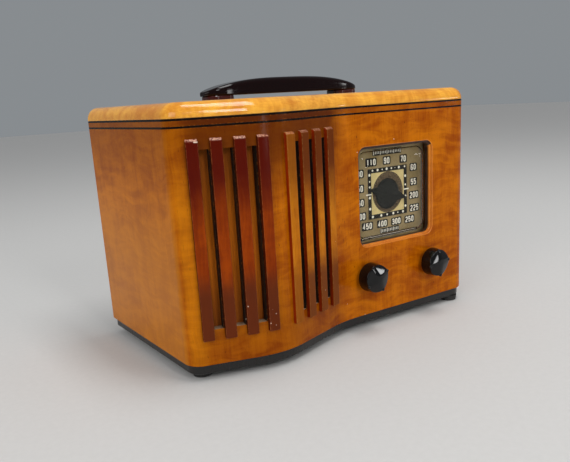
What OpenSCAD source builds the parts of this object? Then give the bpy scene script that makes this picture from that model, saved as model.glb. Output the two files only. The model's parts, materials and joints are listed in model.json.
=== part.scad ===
// Compact wooden table radio with a bowed speaker bay, a square dial and a carrying handle.
// Millimetres. X runs to the right, Y to the back and Z up. The set stands on Z = 0.

/* [Cabinet] */
// Width of the cabinet over its sides
cab_w = 266; // [256:1:320]
// Depth from the flat part of the front to the back edges of the sides
cab_d = 137.5; // [136:0.5:180]
// Height of the wrapped front and sides
wrap_h = 156.8; // [154:0.1:200]
// Thickness of the moulded plywood wrap
wall = 6.5; // [5:0.5:8]
// Thickness of the top panel
top_t = 9.5; // [7:0.5:14]
// Radius of the rolled front and side edges of the top panel
top_roll_r = 9; // [3:0.5:12]
// Radius of the two upright front corners
corner_r = 13; // [9:0.5:20]
// Height of each black inlay string
string_h = 1; // [0.6:0.1:2]
// Depth of each inlay string in the wood
string_d = 1.2; // [0.8:0.1:2]
// Distance between the two strings, centre to centre
string_gap = 4.8; // [3:0.1:8]

/* [Speaker bay] */
// Distance of the bay's peak from the left side
bay_x = 62.7; // [58:0.1:68]
// How far the two facets would meet in front of the flat front
bay_out = 22.2; // [14:0.1:28]
// How far the left corner stands in front of the flat front
bay_left_out = 3; // [0:0.1:6]
// Distance of the bay's inner end from the left side
bay_w = 130.3; // [126:0.1:133]
// Radius that rounds the peak
peak_r = 60; // [30:1:70]
// Radius that blends the bay into the flat front
valley_r = 95; // [60:1:100]

/* [Grille] */
// Number of slats on each facet
slat_count = 4; // [3:1:4]
// Width of a slat
slat_w = 7.6; // [5:0.1:9]
// How far a slat stands out of the wood
slat_out = 3; // [1.5:0.1:4]
// Spacing of the slats along the facet
slat_pitch = 14.75; // [13:0.05:15]
// Distance of the first slat from the left corner, or from the peak
slat_start = 9.1; // [8:0.1:10]
// Height of the slats' lower ends above the base
slat_z = 17.5; // [12:0.5:24]
// Distance of the slats' upper ends below the top of the wrap
slat_top = 12.3; // [10:0.1:24]
// Height and depth of the slope at a slat's upper end
slat_slope = 1.7; // [0.5:0.1:2.5]
// Width of the sound slots between the slats
slot_w = 6; // [3:0.1:6.5]
// Distance of the slots' ends from the slats' ends
slot_margin = 6.6; // [3:0.1:12]
// Thickness of the grille cloth
cloth_t = 0.6; // [0.4:0.1:1]

/* [Base and feet] */
// Thickness of the black base board
base_t = 6.5; // [5:0.5:10]
// How far the base board stands back from the wood
base_inset = 2; // [1:0.5:4]
// Height of a rubber foot
foot_h = 4.5; // [3:0.5:8]
// Diameter of a rubber foot
foot_d = 14; // [11:0.5:16]
// Distance of the feet's centres from the sides
foot_side = 13; // [11:1:24]
// Distance of the front feet's centres behind the flat front
foot_front = 8; // [7:1:20]
// Distance of the back feet's centres from the back edge
foot_back = 19; // [12:1:30]

/* [Dial] */
// Distance of the dial's centre from the left side
dial_x = 186.5; // [185:0.1:188]
// Distance of the dial's centre below the top of the wrap
dial_drop = 66.4; // [64:0.1:69]
// Width of the dial opening
dial_w = 76; // [70:0.5:78]
// Height of the dial opening
dial_h = 74; // [68:0.5:76]
// Corner radius of the dial opening
dial_r = 5; // [2:0.5:8]
// Width and depth of the step routed round the opening
lip = 1.6; // [1:0.1:2.5]
// How far the lens swells forward of its flange
lens_rise = 4.6; // [3:0.1:5]
// Thickness of the lens
lens_t = 0.9; // [0.6:0.1:1.2]
// Depth of the dial plate's face behind the flat front
plate_y = 12; // [11.5:0.1:12.5]
// Length of the pointer from tip to tip
pointer_len = 39; // [30:0.5:40]
// Height of the pointer's axis below the dial's centre
axis_drop = 1.4; // [0:0.1:3]

/* [Controls] */
// Distance of each knob from the dial's centre line
knob_x = 33; // [31:0.5:35]
// Height of the knobs above the base
knob_z = 31; // [28:0.5:34]
// Diameter of a knob's round flank
knob_d = 22.4; // [18:0.1:25]
// How far a knob stands out of the front
knob_out = 15.3; // [12:0.1:18]
// Diameter of the control shafts
shaft_d = 6.35; // [5:0.05:7]
// Turns of the tuning knob for one turn of the pointer
drive_ratio = 8; // [6:0.5:8.5]
// Diameter of the drive cord
cord_d = 1; // [0.6:0.1:1.2]
// Angle of the pointer at rest below the right-hand end of its sweep
pointer_rest = 15; // [0:1:60]

/* [Handle] */
// Length of the handle over its ends
handle_len = 143; // [120:1:160]
// Width of the handle
handle_w = 21; // [16:0.5:28]
// Height of the handle's crown above its straight underside
handle_rise = 11.7; // [8:0.1:18]
// Height of the pads that the handle stands on
pad_h = 3.2; // [2:0.1:6]
// Length of a pad
pad_len = 26; // [20:0.5:30]
// Distance of the handle's centre line behind the flat front
handle_y = 69; // [40:1:90]

/* [Chassis] */
// Height of the chassis deck above the base
deck_z = 46; // [44:0.5:48]
// Thickness of the chassis sheet
sheet_t = 1.2; // [0.8:0.1:1.6]
// Depth of the chassis front apron behind the flat front
apron_y = 26; // [25.5:0.5:27]
// Depth of the speaker well left free at the left of the chassis
well_y = 68; // [66:0.5:70]
// Diameter of a tube's glass
tube_d = 29; // [24:0.5:31]
// Height of a tube over its base
tube_h = 80; // [70:1:86]

/* [Speaker] */
// Diameter of the speaker's rim
speaker_d = 112; // [100:1:114]
// Distance of the speaker's centre from the left side
speaker_x = 66; // [65:0.5:67]
// Height of the speaker's centre above the base
speaker_z = 81; // [75:0.5:88]
// Depth of the basket from rim to back plate
basket_h = 28; // [24:0.5:30]
// Travel of the cone each way
cone_travel = 1; // [0.5:0.1:1.5]

/* [Hidden] */
$fn = 48;
// Clearance round a turning shaft in its bearing
run_gap = 0.05;
// Clearance of a piece that is slipped into place
slip_gap = 0.3;
// Clearance of a shaft or bolt through a plain hole
hole_gap = 0.6;

base_z = foot_h + base_t;
shaft_r = shaft_d / 2;
left_angle = atan2(bay_out - bay_left_out, bay_x);
right_angle = atan2(bay_out, bay_w - bay_x);
slat_h = wrap_h - slat_top - slat_z;
slot_h = slat_h - 2 * slot_margin;
dial_z = wrap_h - dial_drop;
axis_z = dial_z - axis_drop;
knob_xs = [dial_x - knob_x, dial_x + knob_x];
roll_r = min(top_roll_r, top_t - 0.5);

// Unit vector along v
function unit(v) = v / norm(v);
// v turned a quarter to the left
function turn_left(v) = [-v.y, v.x];
// Where the line through p along t meets the line through q along u
function meet(p, t, q, u) = p + t * cross(q - p, u) / cross(t, u);

// Corners of a polygon whose edge i has moved inwards by d[i]
function inset_corners(c, d) = let (n = len(c)) [
    for (i = [0 : n - 1])
        let (
            before = (i + n - 1) % n,
            t = unit(c[i] - c[before]),
            u = unit(c[(i + 1) % n] - c[i])
        )
        meet(c[i] + turn_left(t) * d[before], t, c[i] + turn_left(u) * d[i], u)
];

// Arc of radius r that rounds corner b between its neighbours a and c
function round_corner(a, b, c, r) = r <= 0 ? [b] :
    let (
        t = unit(a - b),
        u = unit(c - b),
        half = acos(t * u) / 2,
        centre = b + unit(t + u) * r / sin(half),
        start = b + t * r / tan(half) - centre,
        sweep = (180 - 2 * half) * sign(cross(b - a, c - b)),
        steps = ceil(abs(sweep) / 5)
    )
    [
        for (k = [0 : steps])
            let (g = atan2(start.y, start.x) + sweep * k / steps)
            centre + r * [cos(g), sin(g)]
    ];

// Polygon with its corners rounded by the radii r
function rounded(c, r) = let (n = len(c)) [
    for (i = [0 : n - 1]) each round_corner(c[(i + n - 1) % n], c[i], c[(i + 1) % n], r[i])
];

plan_corners = [
    [0, cab_d], [0, -bay_left_out], [bay_x, -bay_out], [bay_w, 0], [cab_w, 0], [cab_w, cab_d]
];

// Plan outline of the cabinet, moved inwards by d and at the back edge by back
function outline(d, back = 0) = rounded(
    inset_corners(plan_corners, [d, d, d, d, d, back]),
    [0, max(corner_r - d, 1), peak_r - d, valley_r + d, max(corner_r - d, 1), 0]
);

// Front edge of the outline at distance x from the left side
function front_at(x, d) = lookup(x, [for (p = outline(d)) if (p.y < corner_r && p.x > corner_r) p]);

// The slats nearest the peak reach furthest forward
last_slat_u = slat_start + (slat_count - 1) * slat_pitch + slat_w;
last_slat = last_slat_u * cos(left_angle) - slat_out * sin(left_angle);
front_most = min(front_at(last_slat, -slat_out), front_at(bay_x + slat_start, -slat_out), -knob_out);
mid_y = (front_most + cab_d) / 2;

// Places its children from the left side, the flat front and the top of the base board
module in_cabinet() {
    translate([-cab_w / 2, -mid_y, base_z]) children();
}

// Solid between stacked rings of equal length, each ring counter-clockwise seen from its far end
module loft(rings) {
    n = len(rings[0]);
    last = len(rings) - 1;
    sides = [
        for (k = [0 : last - 1], i = [0 : n - 1])
            let (a = k * n + i, b = k * n + (i + 1) % n)
            each [[a, a + n, b], [b, a + n, b + n]]
    ];
    caps = [[for (i = [0 : n - 1]) i], [for (i = [n - 1 : -1 : 0]) last * n + i]];
    polyhedron([for (r = rings) each r], concat(sides, caps));
}

// Plate of thickness t from depth y, drawn in X and Z
module slab(y, t) {
    translate([0, y + t, 0]) rotate([90, 0, 0]) linear_extrude(t) children();
}

// Round bar of radius r and length l that runs back from (x, y, z)
module bar(x, y, z, r, l) {
    translate([x, y, z]) rotate([-90, 0, 0]) cylinder(r = r, h = l);
}

// Solid turned about the line through (x, z); the profile holds radius and depth
module turned(x, z, profile) {
    translate([x, 0, z]) rotate([-90, 0, 0]) rotate_extrude() polygon(profile);
}

// Rectangle of size w by h round the origin, with corners of radius r
module round_rect(w, h, r) {
    square([w - 2 * r, h], center = true);
    square([w, h - 2 * r], center = true);
    for (x = [-1, 1], y = [-1, 1]) translate([x * (w / 2 - r), y * (h / 2 - r)]) circle(r);
}

module on_left_facet() {
    translate([0, -bay_left_out, 0]) rotate(-left_angle) children();
}

module on_right_facet() {
    translate([bay_x, -bay_out, 0]) rotate(right_angle) children();
}

// Upright boxes of width w that lie between the slats, or on them
module slat_boxes(w, start, count, z, h) {
    for (i = [0 : count - 1])
        translate([start + i * slat_pitch, -3 * slat_out, z]) cube([w, 3 * slat_out + 2 * wall, h]);
}

/* Cabinet */

module sound_slots() {
    first = slat_start + slat_w + (slat_pitch - slat_w - slot_w) / 2;
    slat_boxes(slot_w, first, slat_count - 1, slat_z + slot_margin, slot_h);
}

// Band of height string_h round the front and sides
module string_band(z, grow) {
    translate([0, 0, z]) linear_extrude(string_h) difference() {
        polygon(outline(-grow));
        polygon(outline(string_d, -1));
    }
}

upper_string_z = wrap_h - string_h;
lower_string_z = upper_string_z - string_gap;

lens_flange = 4;
lens_screw_r = 1;
lens_screw_spots = [for (x = [-1, 1], z = [-1, 1]) [
    dial_x + x * (dial_w + lens_flange) / 2,
    dial_z + z * (dial_h + lens_flange) / 2
]];

module cabinet_wrap() {
    color("#b5651d") in_cabinet() difference() {
        linear_extrude(wrap_h) difference() {
            polygon(outline(0));
            polygon(outline(wall, -1));
        }
        string_band(upper_string_z, 1);
        string_band(lower_string_z, 1);
        on_left_facet() sound_slots();
        on_right_facet() sound_slots();
        translate([dial_x, 0, dial_z]) {
            slab(-1, wall + 2) round_rect(dial_w - 2 * lip, dial_h - 2 * lip, dial_r);
            slab(-1, 1 + lip) round_rect(dial_w, dial_h, dial_r + lip);
        }
        for (x = knob_xs) bar(x, -1, knob_z, shaft_r + 2, wall + 2);
        for (p = lens_screw_spots) bar(p.x, wall - lens_screw_depth, p.y, lens_screw_r, lens_screw_depth + 1);
    }
}

// Rings of the rolled edge, from the straight part up to the flat top
top_rings = [
    for (k = [-1 : 9])
        let (g = max(k, 0) * 10, z = k < 0 ? 0 : top_t - roll_r + roll_r * sin(g))
        [for (p = outline(roll_r * (1 - cos(g)))) [p.x, p.y, z]]
];

module top_panel() {
    color("#d08a3c") in_cabinet() difference() {
        translate([0, 0, wrap_h]) loft(top_rings);
        for (x = handle_screw_xs)
            translate([x, handle_y, wrap_h - 1]) cylinder(r = handle_screw_r + hole_gap / 2, h = top_t + 2);
    }
}

module string_upper() {
    color("#16110d") in_cabinet() string_band(upper_string_z, 0);
}

module string_lower() {
    color("#16110d") in_cabinet() string_band(lower_string_z, 0);
}

module facet_slats() {
    slat_boxes(slat_w, slat_start, slat_count, slat_z, slat_h);
}

// Layer of wood on the outer face of the wrap, sloping back at the slats' upper ends
module slat_layer() {
    top = slat_z + slat_h;
    rows = [[0, 0], [top - slat_slope, 0], [top, slat_slope], [wrap_h, slat_slope]];
    difference() {
        loft([for (row = rows) [for (p = outline(row[1] - slat_out)) [p.x, p.y, row[0]]]]);
        translate([0, 0, -1]) linear_extrude(wrap_h + 2) polygon(outline(0, -1));
    }
}

module slats_left() {
    color("#5a1f10") in_cabinet() intersection() {
        slat_layer();
        on_left_facet() facet_slats();
    }
}

module slats_right() {
    color("#5a1f10") in_cabinet() intersection() {
        slat_layer();
        on_right_facet() facet_slats();
    }
}

// How far the cloth is glued beyond the slots
cloth_lap = 4;

module grille_cloth() {
    edge = wall + cloth_lap;
    color("#6b4423") in_cabinet() intersection() {
        linear_extrude(wrap_h) difference() {
            polygon(outline(wall, -1));
            polygon(outline(wall + cloth_t, -1));
        }
        translate([edge, -bay_out, slat_z + slot_margin - cloth_lap])
            cube([bay_w - edge, 2 * bay_out, slot_h + 2 * cloth_lap]);
    }
}

// Square of a cleat or block in plan
cleat = 10;
back_t = 3;
back_y = cab_d - 3.5 - back_t;
back_screw_r = 1.5;
back_screw_x = wall + cleat / 2;
back_screw_spots = concat(
    [for (x = [back_screw_x, cab_w - back_screw_x], z = [20, wrap_h / 2]) [x, z]],
    [for (x = [0.2, 0.8]) [cab_w * x, wrap_h - cleat / 2]]
);
screw_depth = 8;

module screw_pilots() {
    for (p = back_screw_spots) bar(p.x, back_y - screw_depth, p.y, back_screw_r, screw_depth + 1);
}

module back_cleats() {
    color("#9c7a4a") in_cabinet() difference() {
        union() {
            for (x = [wall, cab_w - wall - cleat])
                translate([x, back_y - cleat, 0]) cube([cleat, cleat, wrap_h - cleat]);
            translate([wall, back_y - cleat, wrap_h - cleat]) cube([cab_w - 2 * wall, cleat, cleat]);
        }
        screw_pilots();
    }
}

// Blocks glued into the two front corners under the top panel
block = 12;
module glue_blocks() {
    color("#9c7a4a") in_cabinet() intersection() {
        translate([0, 0, wrap_h - block]) linear_extrude(block) polygon(outline(wall));
        for (x = [wall, cab_w - wall - block])
            translate([x, -bay_out, wrap_h - block]) cube([block, bay_out + wall + block, block]);
    }
}

/* Base and feet */

foot_screw_r = 1.6;
foot_spots = [
    for (x = [foot_side, cab_w - foot_side], y = [foot_front, cab_d - foot_back]) [x, y]
];
foot_seat = foot_h * 0.45;
chassis_bolt_r = 2;
bolt_tab = 13;

module base_board() {
    color("#15140f") in_cabinet() difference() {
        translate([0, 0, -base_t]) linear_extrude(base_t) polygon(outline(base_inset, base_inset));
        for (p = foot_spots) translate([p.x, p.y, -base_t - 1]) cylinder(r = foot_screw_r, h = base_t);
        for (p = chassis_bolt_spots) translate([p.x, p.y, -base_t - 1]) {
            cylinder(r = chassis_bolt_r + hole_gap / 2, h = base_t + 2);
            cylinder(r = 2.4 * chassis_bolt_r, h = 1 + base_t / 2);
        }
    }
}

module rubber_feet() {
    r = foot_d / 2;
    color("#1b1a18") in_cabinet() translate([0, 0, -base_z]) for (p = foot_spots) translate([p.x, p.y, 0])
        rotate_extrude() polygon([
            [r - 1.4, 0], [r - 0.6, 0.4], [r, foot_h], [foot_screw_r, foot_h], [foot_screw_r, foot_seat],
            [3.4, foot_seat], [3.4, 0]
        ]);
}

module foot_screws() {
    color("#8a8678") in_cabinet() translate([0, 0, -base_z]) for (p = foot_spots) translate([p.x, p.y, 0])
        rotate_extrude() polygon([
            [0, 0.8], [2.2, 1], [3, foot_seat], [foot_screw_r, foot_seat], [foot_screw_r, foot_h + base_t - 2],
            [0, foot_h + base_t - 1]
        ]);
}

/* Handle */

handle_x = cab_w / 2;
handle_end_h = 2;
handle_screw_r = 1.9;
handle_screw_xs = [handle_x - handle_len / 2 + pad_len / 2, handle_x + handle_len / 2 - pad_len / 2];
handle_z = wrap_h + top_t + pad_h;

// Height of the handle above its underside and half its width, u from -1 to 1 along it
function handle_top(u) = handle_end_h + (handle_rise - handle_end_h) * (1 - pow(abs(u), 2.6));
function handle_half(u) = handle_w / 2 * (1 - 0.12 * u * u) * pow(1 - pow(abs(u), 14), 0.5);

// Section across the handle at u, with its upper edges rounded
function handle_ring(u) = let (
        x = u * handle_len / 2,
        h = handle_top(u),
        w = max(handle_half(u), 3),
        r = min(h, w) * 0.62
    )
    concat(
        [[x, -w + 0.8, 0], [x, w - 0.8, 0], [x, w, min(1, h / 2)]],
        [for (k = [0 : 5]) [x, w - r + r * cos(18 * k), h - r + r * sin(18 * k)]],
        [for (k = [0 : 5]) [x, -w + r - r * sin(18 * k), h - r + r * cos(18 * k)]],
        [[x, -w, min(1, h / 2)]]
    );

module handle() {
    stations = [for (k = [-16 : 16]) 0.995 * sin(90 * k / 16)];
    color("#1d0d0b") in_cabinet() translate([handle_x, handle_y, handle_z]) difference() {
        loft([for (u = stations) handle_ring(u)]);
        for (x = handle_screw_xs)
            translate([x - handle_x, 0, -1]) cylinder(r = handle_screw_r, h = 1 + handle_end_h + 1.5);
    }
}

module handle_pads() {
    w = handle_w - 2.4;
    end_gap = 1.5;
    color("#4a120c") in_cabinet() translate([0, handle_y, wrap_h + top_t]) difference() {
        for (x = handle_screw_xs) {
            out = x < handle_x ? -1 : 1;
            translate([x, 0, 0]) linear_extrude(pad_h) {
                circle(d = w);
                translate([out * (pad_len / 2 - end_gap - w / 4), 0]) square([w / 2, w * 0.8], center = true);
                translate([-out * pad_len / 4, 0]) square([pad_len / 2, w], center = true);
            }
        }
        for (x = handle_screw_xs)
            translate([x, 0, -1]) cylinder(r = handle_screw_r + hole_gap / 2, h = pad_h + 2);
    }
}

module handle_screws() {
    tip = top_t + pad_h + handle_end_h + 1;
    color("#9a9484") in_cabinet() for (x = handle_screw_xs) translate([x, handle_y, wrap_h])
        rotate_extrude() polygon([
            [0, -2.2], [2.6, -1.8], [3.8, -0.4], [3.8, 0],
            [handle_screw_r, 0], [handle_screw_r, tip - 1], [0, tip]
        ]);
}

/* Dial */

lens_y = wall;
lens_screw_depth = 4;
lens_pane_w = dial_w - 2 * lip - 4;
lens_pane_h = dial_h - 2 * lip - 4;
lens_pane_r = 8;

// Rounded rectangle as a ring of points at depth y
function pane_ring(w, h, r, y) = [
    for (p = rounded([[w / 2, h / 2], [-w / 2, h / 2], [-w / 2, -h / 2], [w / 2, -h / 2]], [r, r, r, r]))
        [p.x, y, p.y]
];

// Swollen pane; shrink is the distance of the inner face from the outer one
function pane(shrink) = [
    for (k = [0 : 6])
        let (g = k * 15, side = 2 * shrink + 22 * (1 - cos(g)) * 0.8)
        pane_ring(lens_pane_w - side, lens_pane_h - side, lens_pane_r - shrink, -(lens_rise - shrink) * sin(g))
];

module dial_lens() {
    reach = 2 * lens_flange + 2;
    color("#cdbf9a", 0.35) in_cabinet() translate([dial_x, lens_y, dial_z]) difference() {
        union() {
            slab(0, lens_t) round_rect(dial_w + reach, dial_h + reach, dial_r);
            loft(pane(0));
        }
        translate([0, lens_t, 0]) loft(pane(lens_t));
        slab(-0.01, lens_t + 1)
            round_rect(lens_pane_w - 2 * lens_t, lens_pane_h - 2 * lens_t, lens_pane_r - lens_t);
        for (p = lens_screw_spots) bar(p.x - dial_x, -1, p.y - dial_z, lens_screw_r + 0.1, lens_t + 2);
    }
}

module lens_screws() {
    color("#8a8678") in_cabinet() for (p = lens_screw_spots) turned(p.x, p.y, [
        [0, wall - lens_screw_depth + 0.5], [lens_screw_r, wall - lens_screw_depth + 1.2],
        [lens_screw_r, wall + lens_t], [2.2, wall + lens_t],
        [1.6, wall + lens_t + 1.2], [0, wall + lens_t + 1.4]
    ]);
}

plate_t = 0.8;
plate_w = dial_w + 4;
plate_h = dial_h + 4;
bracket_t = 1.2;
bracket_y = plate_y + plate_t;
rivet_r = 1.2;
rivet_in = 4.5;
rivets = [for (x = [-1, 1], z = [-1, 1]) [
    dial_x + x * (plate_w / 2 - rivet_in),
    dial_z + z * (plate_h / 2 - rivet_in)
]];

module dial_plate() {
    color("#8f7a3f") in_cabinet() difference() {
        translate([dial_x, 0, dial_z]) slab(plate_y, plate_t) round_rect(plate_w, plate_h, 3);
        bar(dial_x, plate_y - 1, axis_z, shaft_r + hole_gap, plate_t + 2);
        for (p = rivets) bar(p.x, plate_y - 1, p.y, rivet_r, plate_t + 2);
    }
}

module dial_rivets() {
    color("#8f7a3f") in_cabinet() for (p = rivets) turned(p.x, p.y, [
        [0, plate_y - 0.7], [1.4, plate_y - 0.5], [2, plate_y], [rivet_r, plate_y],
        [rivet_r, bracket_y + bracket_t], [1.9, bracket_y + bracket_t], [0, bracket_y + bracket_t + 0.7]
    ]);
}

lamp_x = dial_x + 16;
lamp_z = dial_z + plate_h / 2 + 9;
lamp_tab_y = apron_y;
socket_r = 5;

// Upright that carries the dial plate and the pilot lamp, with two legs back to the deck
module dial_bracket() {
    foot = 12;
    leg_z = deck_z + 4;
    leg_top = dial_z - plate_h / 2 + 12.6;
    slot_spread = 0.26 * plate_h;
    tab_w = 16;
    tab_z = dial_z + plate_h / 2 - 3;
    legs_x = [dial_x - plate_w / 2, dial_x + plate_w / 2 - bracket_t];
    color("#8d8d86") in_cabinet() difference() {
        union() {
            translate([dial_x, 0, dial_z]) slab(bracket_y, bracket_t) difference() {
                round_rect(plate_w, plate_h, 3);
                for (z = [-1, 1]) translate([0, z * slot_spread]) round_rect(30, 10, 2);
            }
            for (x = legs_x) {
                translate([x, bracket_y, leg_z])
                    cube([bracket_t, apron_y + foot - bracket_y, leg_top - leg_z]);
                translate([x, apron_y + 1, deck_z]) cube([bracket_t, foot - 1, leg_top - deck_z]);
            }
            translate([legs_x[0] - foot + bracket_t, apron_y + 1, deck_z]) cube([foot, foot - 1, bracket_t]);
            translate([legs_x[1], apron_y + 1, deck_z]) cube([foot, foot - 1, bracket_t]);
            translate([lamp_x - tab_w / 2, bracket_y, tab_z])
                cube([tab_w, lamp_tab_y - bracket_y + bracket_t, bracket_t]);
            translate([lamp_x - tab_w / 2, lamp_tab_y, tab_z]) cube([tab_w, bracket_t, lamp_z + 9 - tab_z]);
        }
        bar(dial_x, bracket_y - 1, axis_z, shaft_r + 1.5, bracket_t + 2);
        for (p = rivets) bar(p.x, bracket_y - 1, p.y, rivet_r, bracket_t + 2);
        bar(lamp_x, lamp_tab_y - 1, lamp_z, socket_r, bracket_t + 2);
        for (x = [legs_x[0] - foot / 2 + bracket_t, legs_x[1] + foot / 2])
            translate([x, apron_y + 1 + foot / 2, deck_z - 1]) cylinder(r = small_bolt_r, h = 4);
    }
}

module lamp_socket() {
    color("#b9a468") in_cabinet() turned(lamp_x, lamp_z, [
        [4.4, lamp_tab_y - 5], [socket_r, lamp_tab_y - 5], [socket_r, lamp_tab_y + bracket_t],
        [socket_r + 1, lamp_tab_y + bracket_t], [socket_r + 1, lamp_tab_y + 2.4],
        [socket_r, lamp_tab_y + 2.4], [socket_r, lamp_tab_y + 9], [0, lamp_tab_y + 9], [0, lamp_tab_y + 7.5],
        [4.4, lamp_tab_y + 7.5]
    ]);
}

module pilot_lamp() {
    color("#e8e2c8") in_cabinet() turned(lamp_x, lamp_z, [
        [0, lamp_tab_y - 17], [2.4, lamp_tab_y - 16.4], [4, lamp_tab_y - 14], [4.4, lamp_tab_y - 11],
        [3.6, lamp_tab_y - 6], [4.2, lamp_tab_y - 5], [4.2, lamp_tab_y + 7], [0, lamp_tab_y + 7.5]
    ]);
}

/* Tuning gang and its drive */

gang_w = 46;
gang_y = apron_y + 4;
gang_len = 42;
gang_t = 2;
rotor_r = 19;
vane_t = 0.6;
vane_pitch = 2.6;
vane_count = 6;
section_len = vane_pitch * (vane_count + 0.5);
section_ys = [gang_y + gang_t + 2, gang_y + gang_len - gang_t - 2 - section_len];
drum_y = 19.2;
drum_t = 4.4;
drum_r = drive_ratio * (shaft_r + cord_d / 2) - cord_d / 2;
groove_w = cord_d + 1;
cord_y = drum_y + drum_t / 2;
spindle_x = dial_x + knob_x;

module gang_frame() {
    color("#a3a39c") in_cabinet() difference() {
        union() {
            for (y = [gang_y, gang_y + gang_len - gang_t])
                translate([dial_x, 0, 0]) slab(y, gang_t) polygon([
                    [-gang_w / 2, deck_z], [gang_w / 2, deck_z], [gang_w / 2, axis_z - 8],
                    [10, axis_z + 9], [-10, axis_z + 9], [-gang_w / 2, axis_z - 8]
                ]);
            translate([dial_x - gang_w / 2, gang_y, deck_z]) cube([gang_w, gang_len, gang_t]);
        }
        bar(dial_x, gang_y - 1, axis_z, shaft_r + run_gap, gang_len + 2);
        for (x = stator_rods) bar(x, gang_y - 1, stator_rod_z, 1.5, gang_len + 2);
        for (p = gang_bolts) translate([p.x, p.y, deck_z - 1]) cylinder(r = small_bolt_r, h = gang_t + 2);
    }
}

stator_r = rotor_r + 4;
stator_rods = [dial_x - stator_r + 1, dial_x + stator_r - 1];
stator_rod_z = axis_z - 12;
small_bolt_r = 1.7;
gang_bolts = [
    for (x = [-1, 1], y = [8, gang_len - 8]) [dial_x + x * (gang_w / 2 - 7), gang_y + y]
];

// Fixed vanes of both sections, each section carried by the two rods
module stator_plates() {
    color("#c3c3bb") in_cabinet() {
        for (x = stator_rods) bar(x, gang_y, stator_rod_z, 1.5, gang_len);
        for (y = section_ys, k = [0 : vane_count])
            translate([dial_x, 0, axis_z]) slab(y + k * vane_pitch, vane_t) difference() {
                translate([-stator_r - 1, -stator_r]) square([2 * stator_r + 2, stator_r - 2]);
                circle(r = shaft_r + 3.5);
            }
    }
}

// Moving vanes, half out of mesh at rest
module rotor_plates() {
    color("#d2d2cb") in_cabinet() for (y = section_ys) {
        translate([dial_x, 0, axis_z]) rotate([0, pointer_rest, 0])
            for (k = [0 : vane_count - 1])
                slab(y + (k + 0.5) * vane_pitch, vane_t) difference() {
                    circle(r = rotor_r);
                    translate([-rotor_r - 1, -rotor_r - 1]) square([2 * rotor_r + 2, rotor_r + 1.5]);
                    circle(r = shaft_r + 1);
                }
        turned(dial_x, axis_z, [
            [shaft_r, y], [shaft_r + 2, y], [shaft_r + 2, y + section_len], [shaft_r, y + section_len]
        ]);
    }
}

pointer_hub_h = 2.6;
pointer_gap = 0.7;
pointer_y = plate_y - pointer_gap - pointer_hub_h;

module gang_shaft() {
    front = pointer_y + 0.8;
    color("#b8b8b0") in_cabinet() bar(dial_x, front, axis_z, shaft_r, gang_y + gang_len + 4 - front);
}

module dial_drum() {
    flange_t = (drum_t - groove_w) / 2;
    hub_r = shaft_r + 4;
    color("#7d7a6c") in_cabinet() difference() {
        turned(dial_x, axis_z, [
            [shaft_r, drum_y - 1], [hub_r, drum_y - 1], [hub_r, drum_y], [drum_r + 1.8, drum_y],
            [drum_r + 1.8, drum_y + flange_t], [drum_r, drum_y + flange_t],
            [drum_r, drum_y + drum_t - flange_t], [drum_r + 1.8, drum_y + drum_t - flange_t],
            [drum_r + 1.8, drum_y + drum_t], [shaft_r, drum_y + drum_t]
        ]);
        for (k = [0 : 4]) rotate_about(dial_x, axis_z, 72 * k)
            bar(dial_x + (hub_r + drum_r) / 2, drum_y - 1, axis_z, (drum_r - hub_r) * 0.36, drum_t + 2);
    }
}

// Turns its children about the line through (x, z), clockwise seen from the front
module rotate_about(x, z, angle) {
    translate([x, 0, z]) rotate([0, angle, 0]) translate([-x, 0, -z]) children();
}

// Domed hub under a ridged needle that tapers to both tips, drawn level and turned to its place at rest
module dial_pointer() {
    hub_r = 11.5;
    tip = pointer_len / 2;
    half = 7.4;
    eave = 1.8;
    color("#1a1b18") in_cabinet() rotate_about(dial_x, axis_z, pointer_rest) difference() {
        union() {
            turned(dial_x, axis_z, [
                [0, pointer_y + 0.5], [4, pointer_y + 0.6], [8, pointer_y + 1], [hub_r - 0.8, pointer_y + 1.6],
                [hub_r, pointer_y + pointer_hub_h], [0, pointer_y + pointer_hub_h]
            ]);
            translate([dial_x, pointer_y, axis_z]) intersection() {
                slab(0, pointer_hub_h) polygon([
                    [-tip, 0], [-hub_r, -4], [0, -half], [hub_r, -4],
                    [tip, 0], [hub_r, 4], [0, half], [-hub_r, 4]
                ]);
                rotate([90, 0, 90]) linear_extrude(pointer_len, center = true) polygon([
                    [0, 0], [eave, half], [pointer_hub_h, half], [pointer_hub_h, -half], [eave, -half]
                ]);
            }
        }
        bar(dial_x, pointer_y + 0.8, axis_z, shaft_r, pointer_hub_h);
    }
}

// Loop of cord round the drum's groove and the tuning spindle
module drive_cord() {
    module loop(grow) {
        hull() {
            translate([dial_x, axis_z]) circle(r = drum_r + slip_gap + grow);
            translate([spindle_x, knob_z]) circle(r = shaft_r + slip_gap + grow);
        }
    }
    color("#c9b07a") in_cabinet() slab(cord_y - cord_d / 2, cord_d) difference() {
        loop(cord_d);
        loop(0);
    }
}

/* Controls */

bush_r = 4.7;
nut_r = 6.6;
nut_t = 2.4;
bush_len = 9;
knob_gap = 3;
shaft_front = -knob_out + 4;

module tuning_bushing() {
    color("#b59a4d") in_cabinet() turned(spindle_x, knob_z, [
        [shaft_r + run_gap, apron_y - nut_t - 0.4], [bush_r, apron_y - nut_t - 0.4],
        [bush_r, apron_y + sheet_t], [bush_r + 2.5, apron_y + sheet_t],
        [bush_r + 2.5, apron_y + sheet_t + 2], [bush_r, apron_y + sheet_t + 2],
        [bush_r, apron_y + bush_len], [shaft_r + run_gap, apron_y + bush_len]
    ]);
}

module tuning_spindle() {
    back = apron_y + bush_len + 0.4;
    color("#b8b8b0") in_cabinet() turned(spindle_x, knob_z, [
        [0, shaft_front], [shaft_r - 0.4, shaft_front], [shaft_r, shaft_front + 0.4], [shaft_r, back],
        [bush_r, back], [bush_r, back + 1.6], [0, back + 1.6]
    ]);
}

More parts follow.
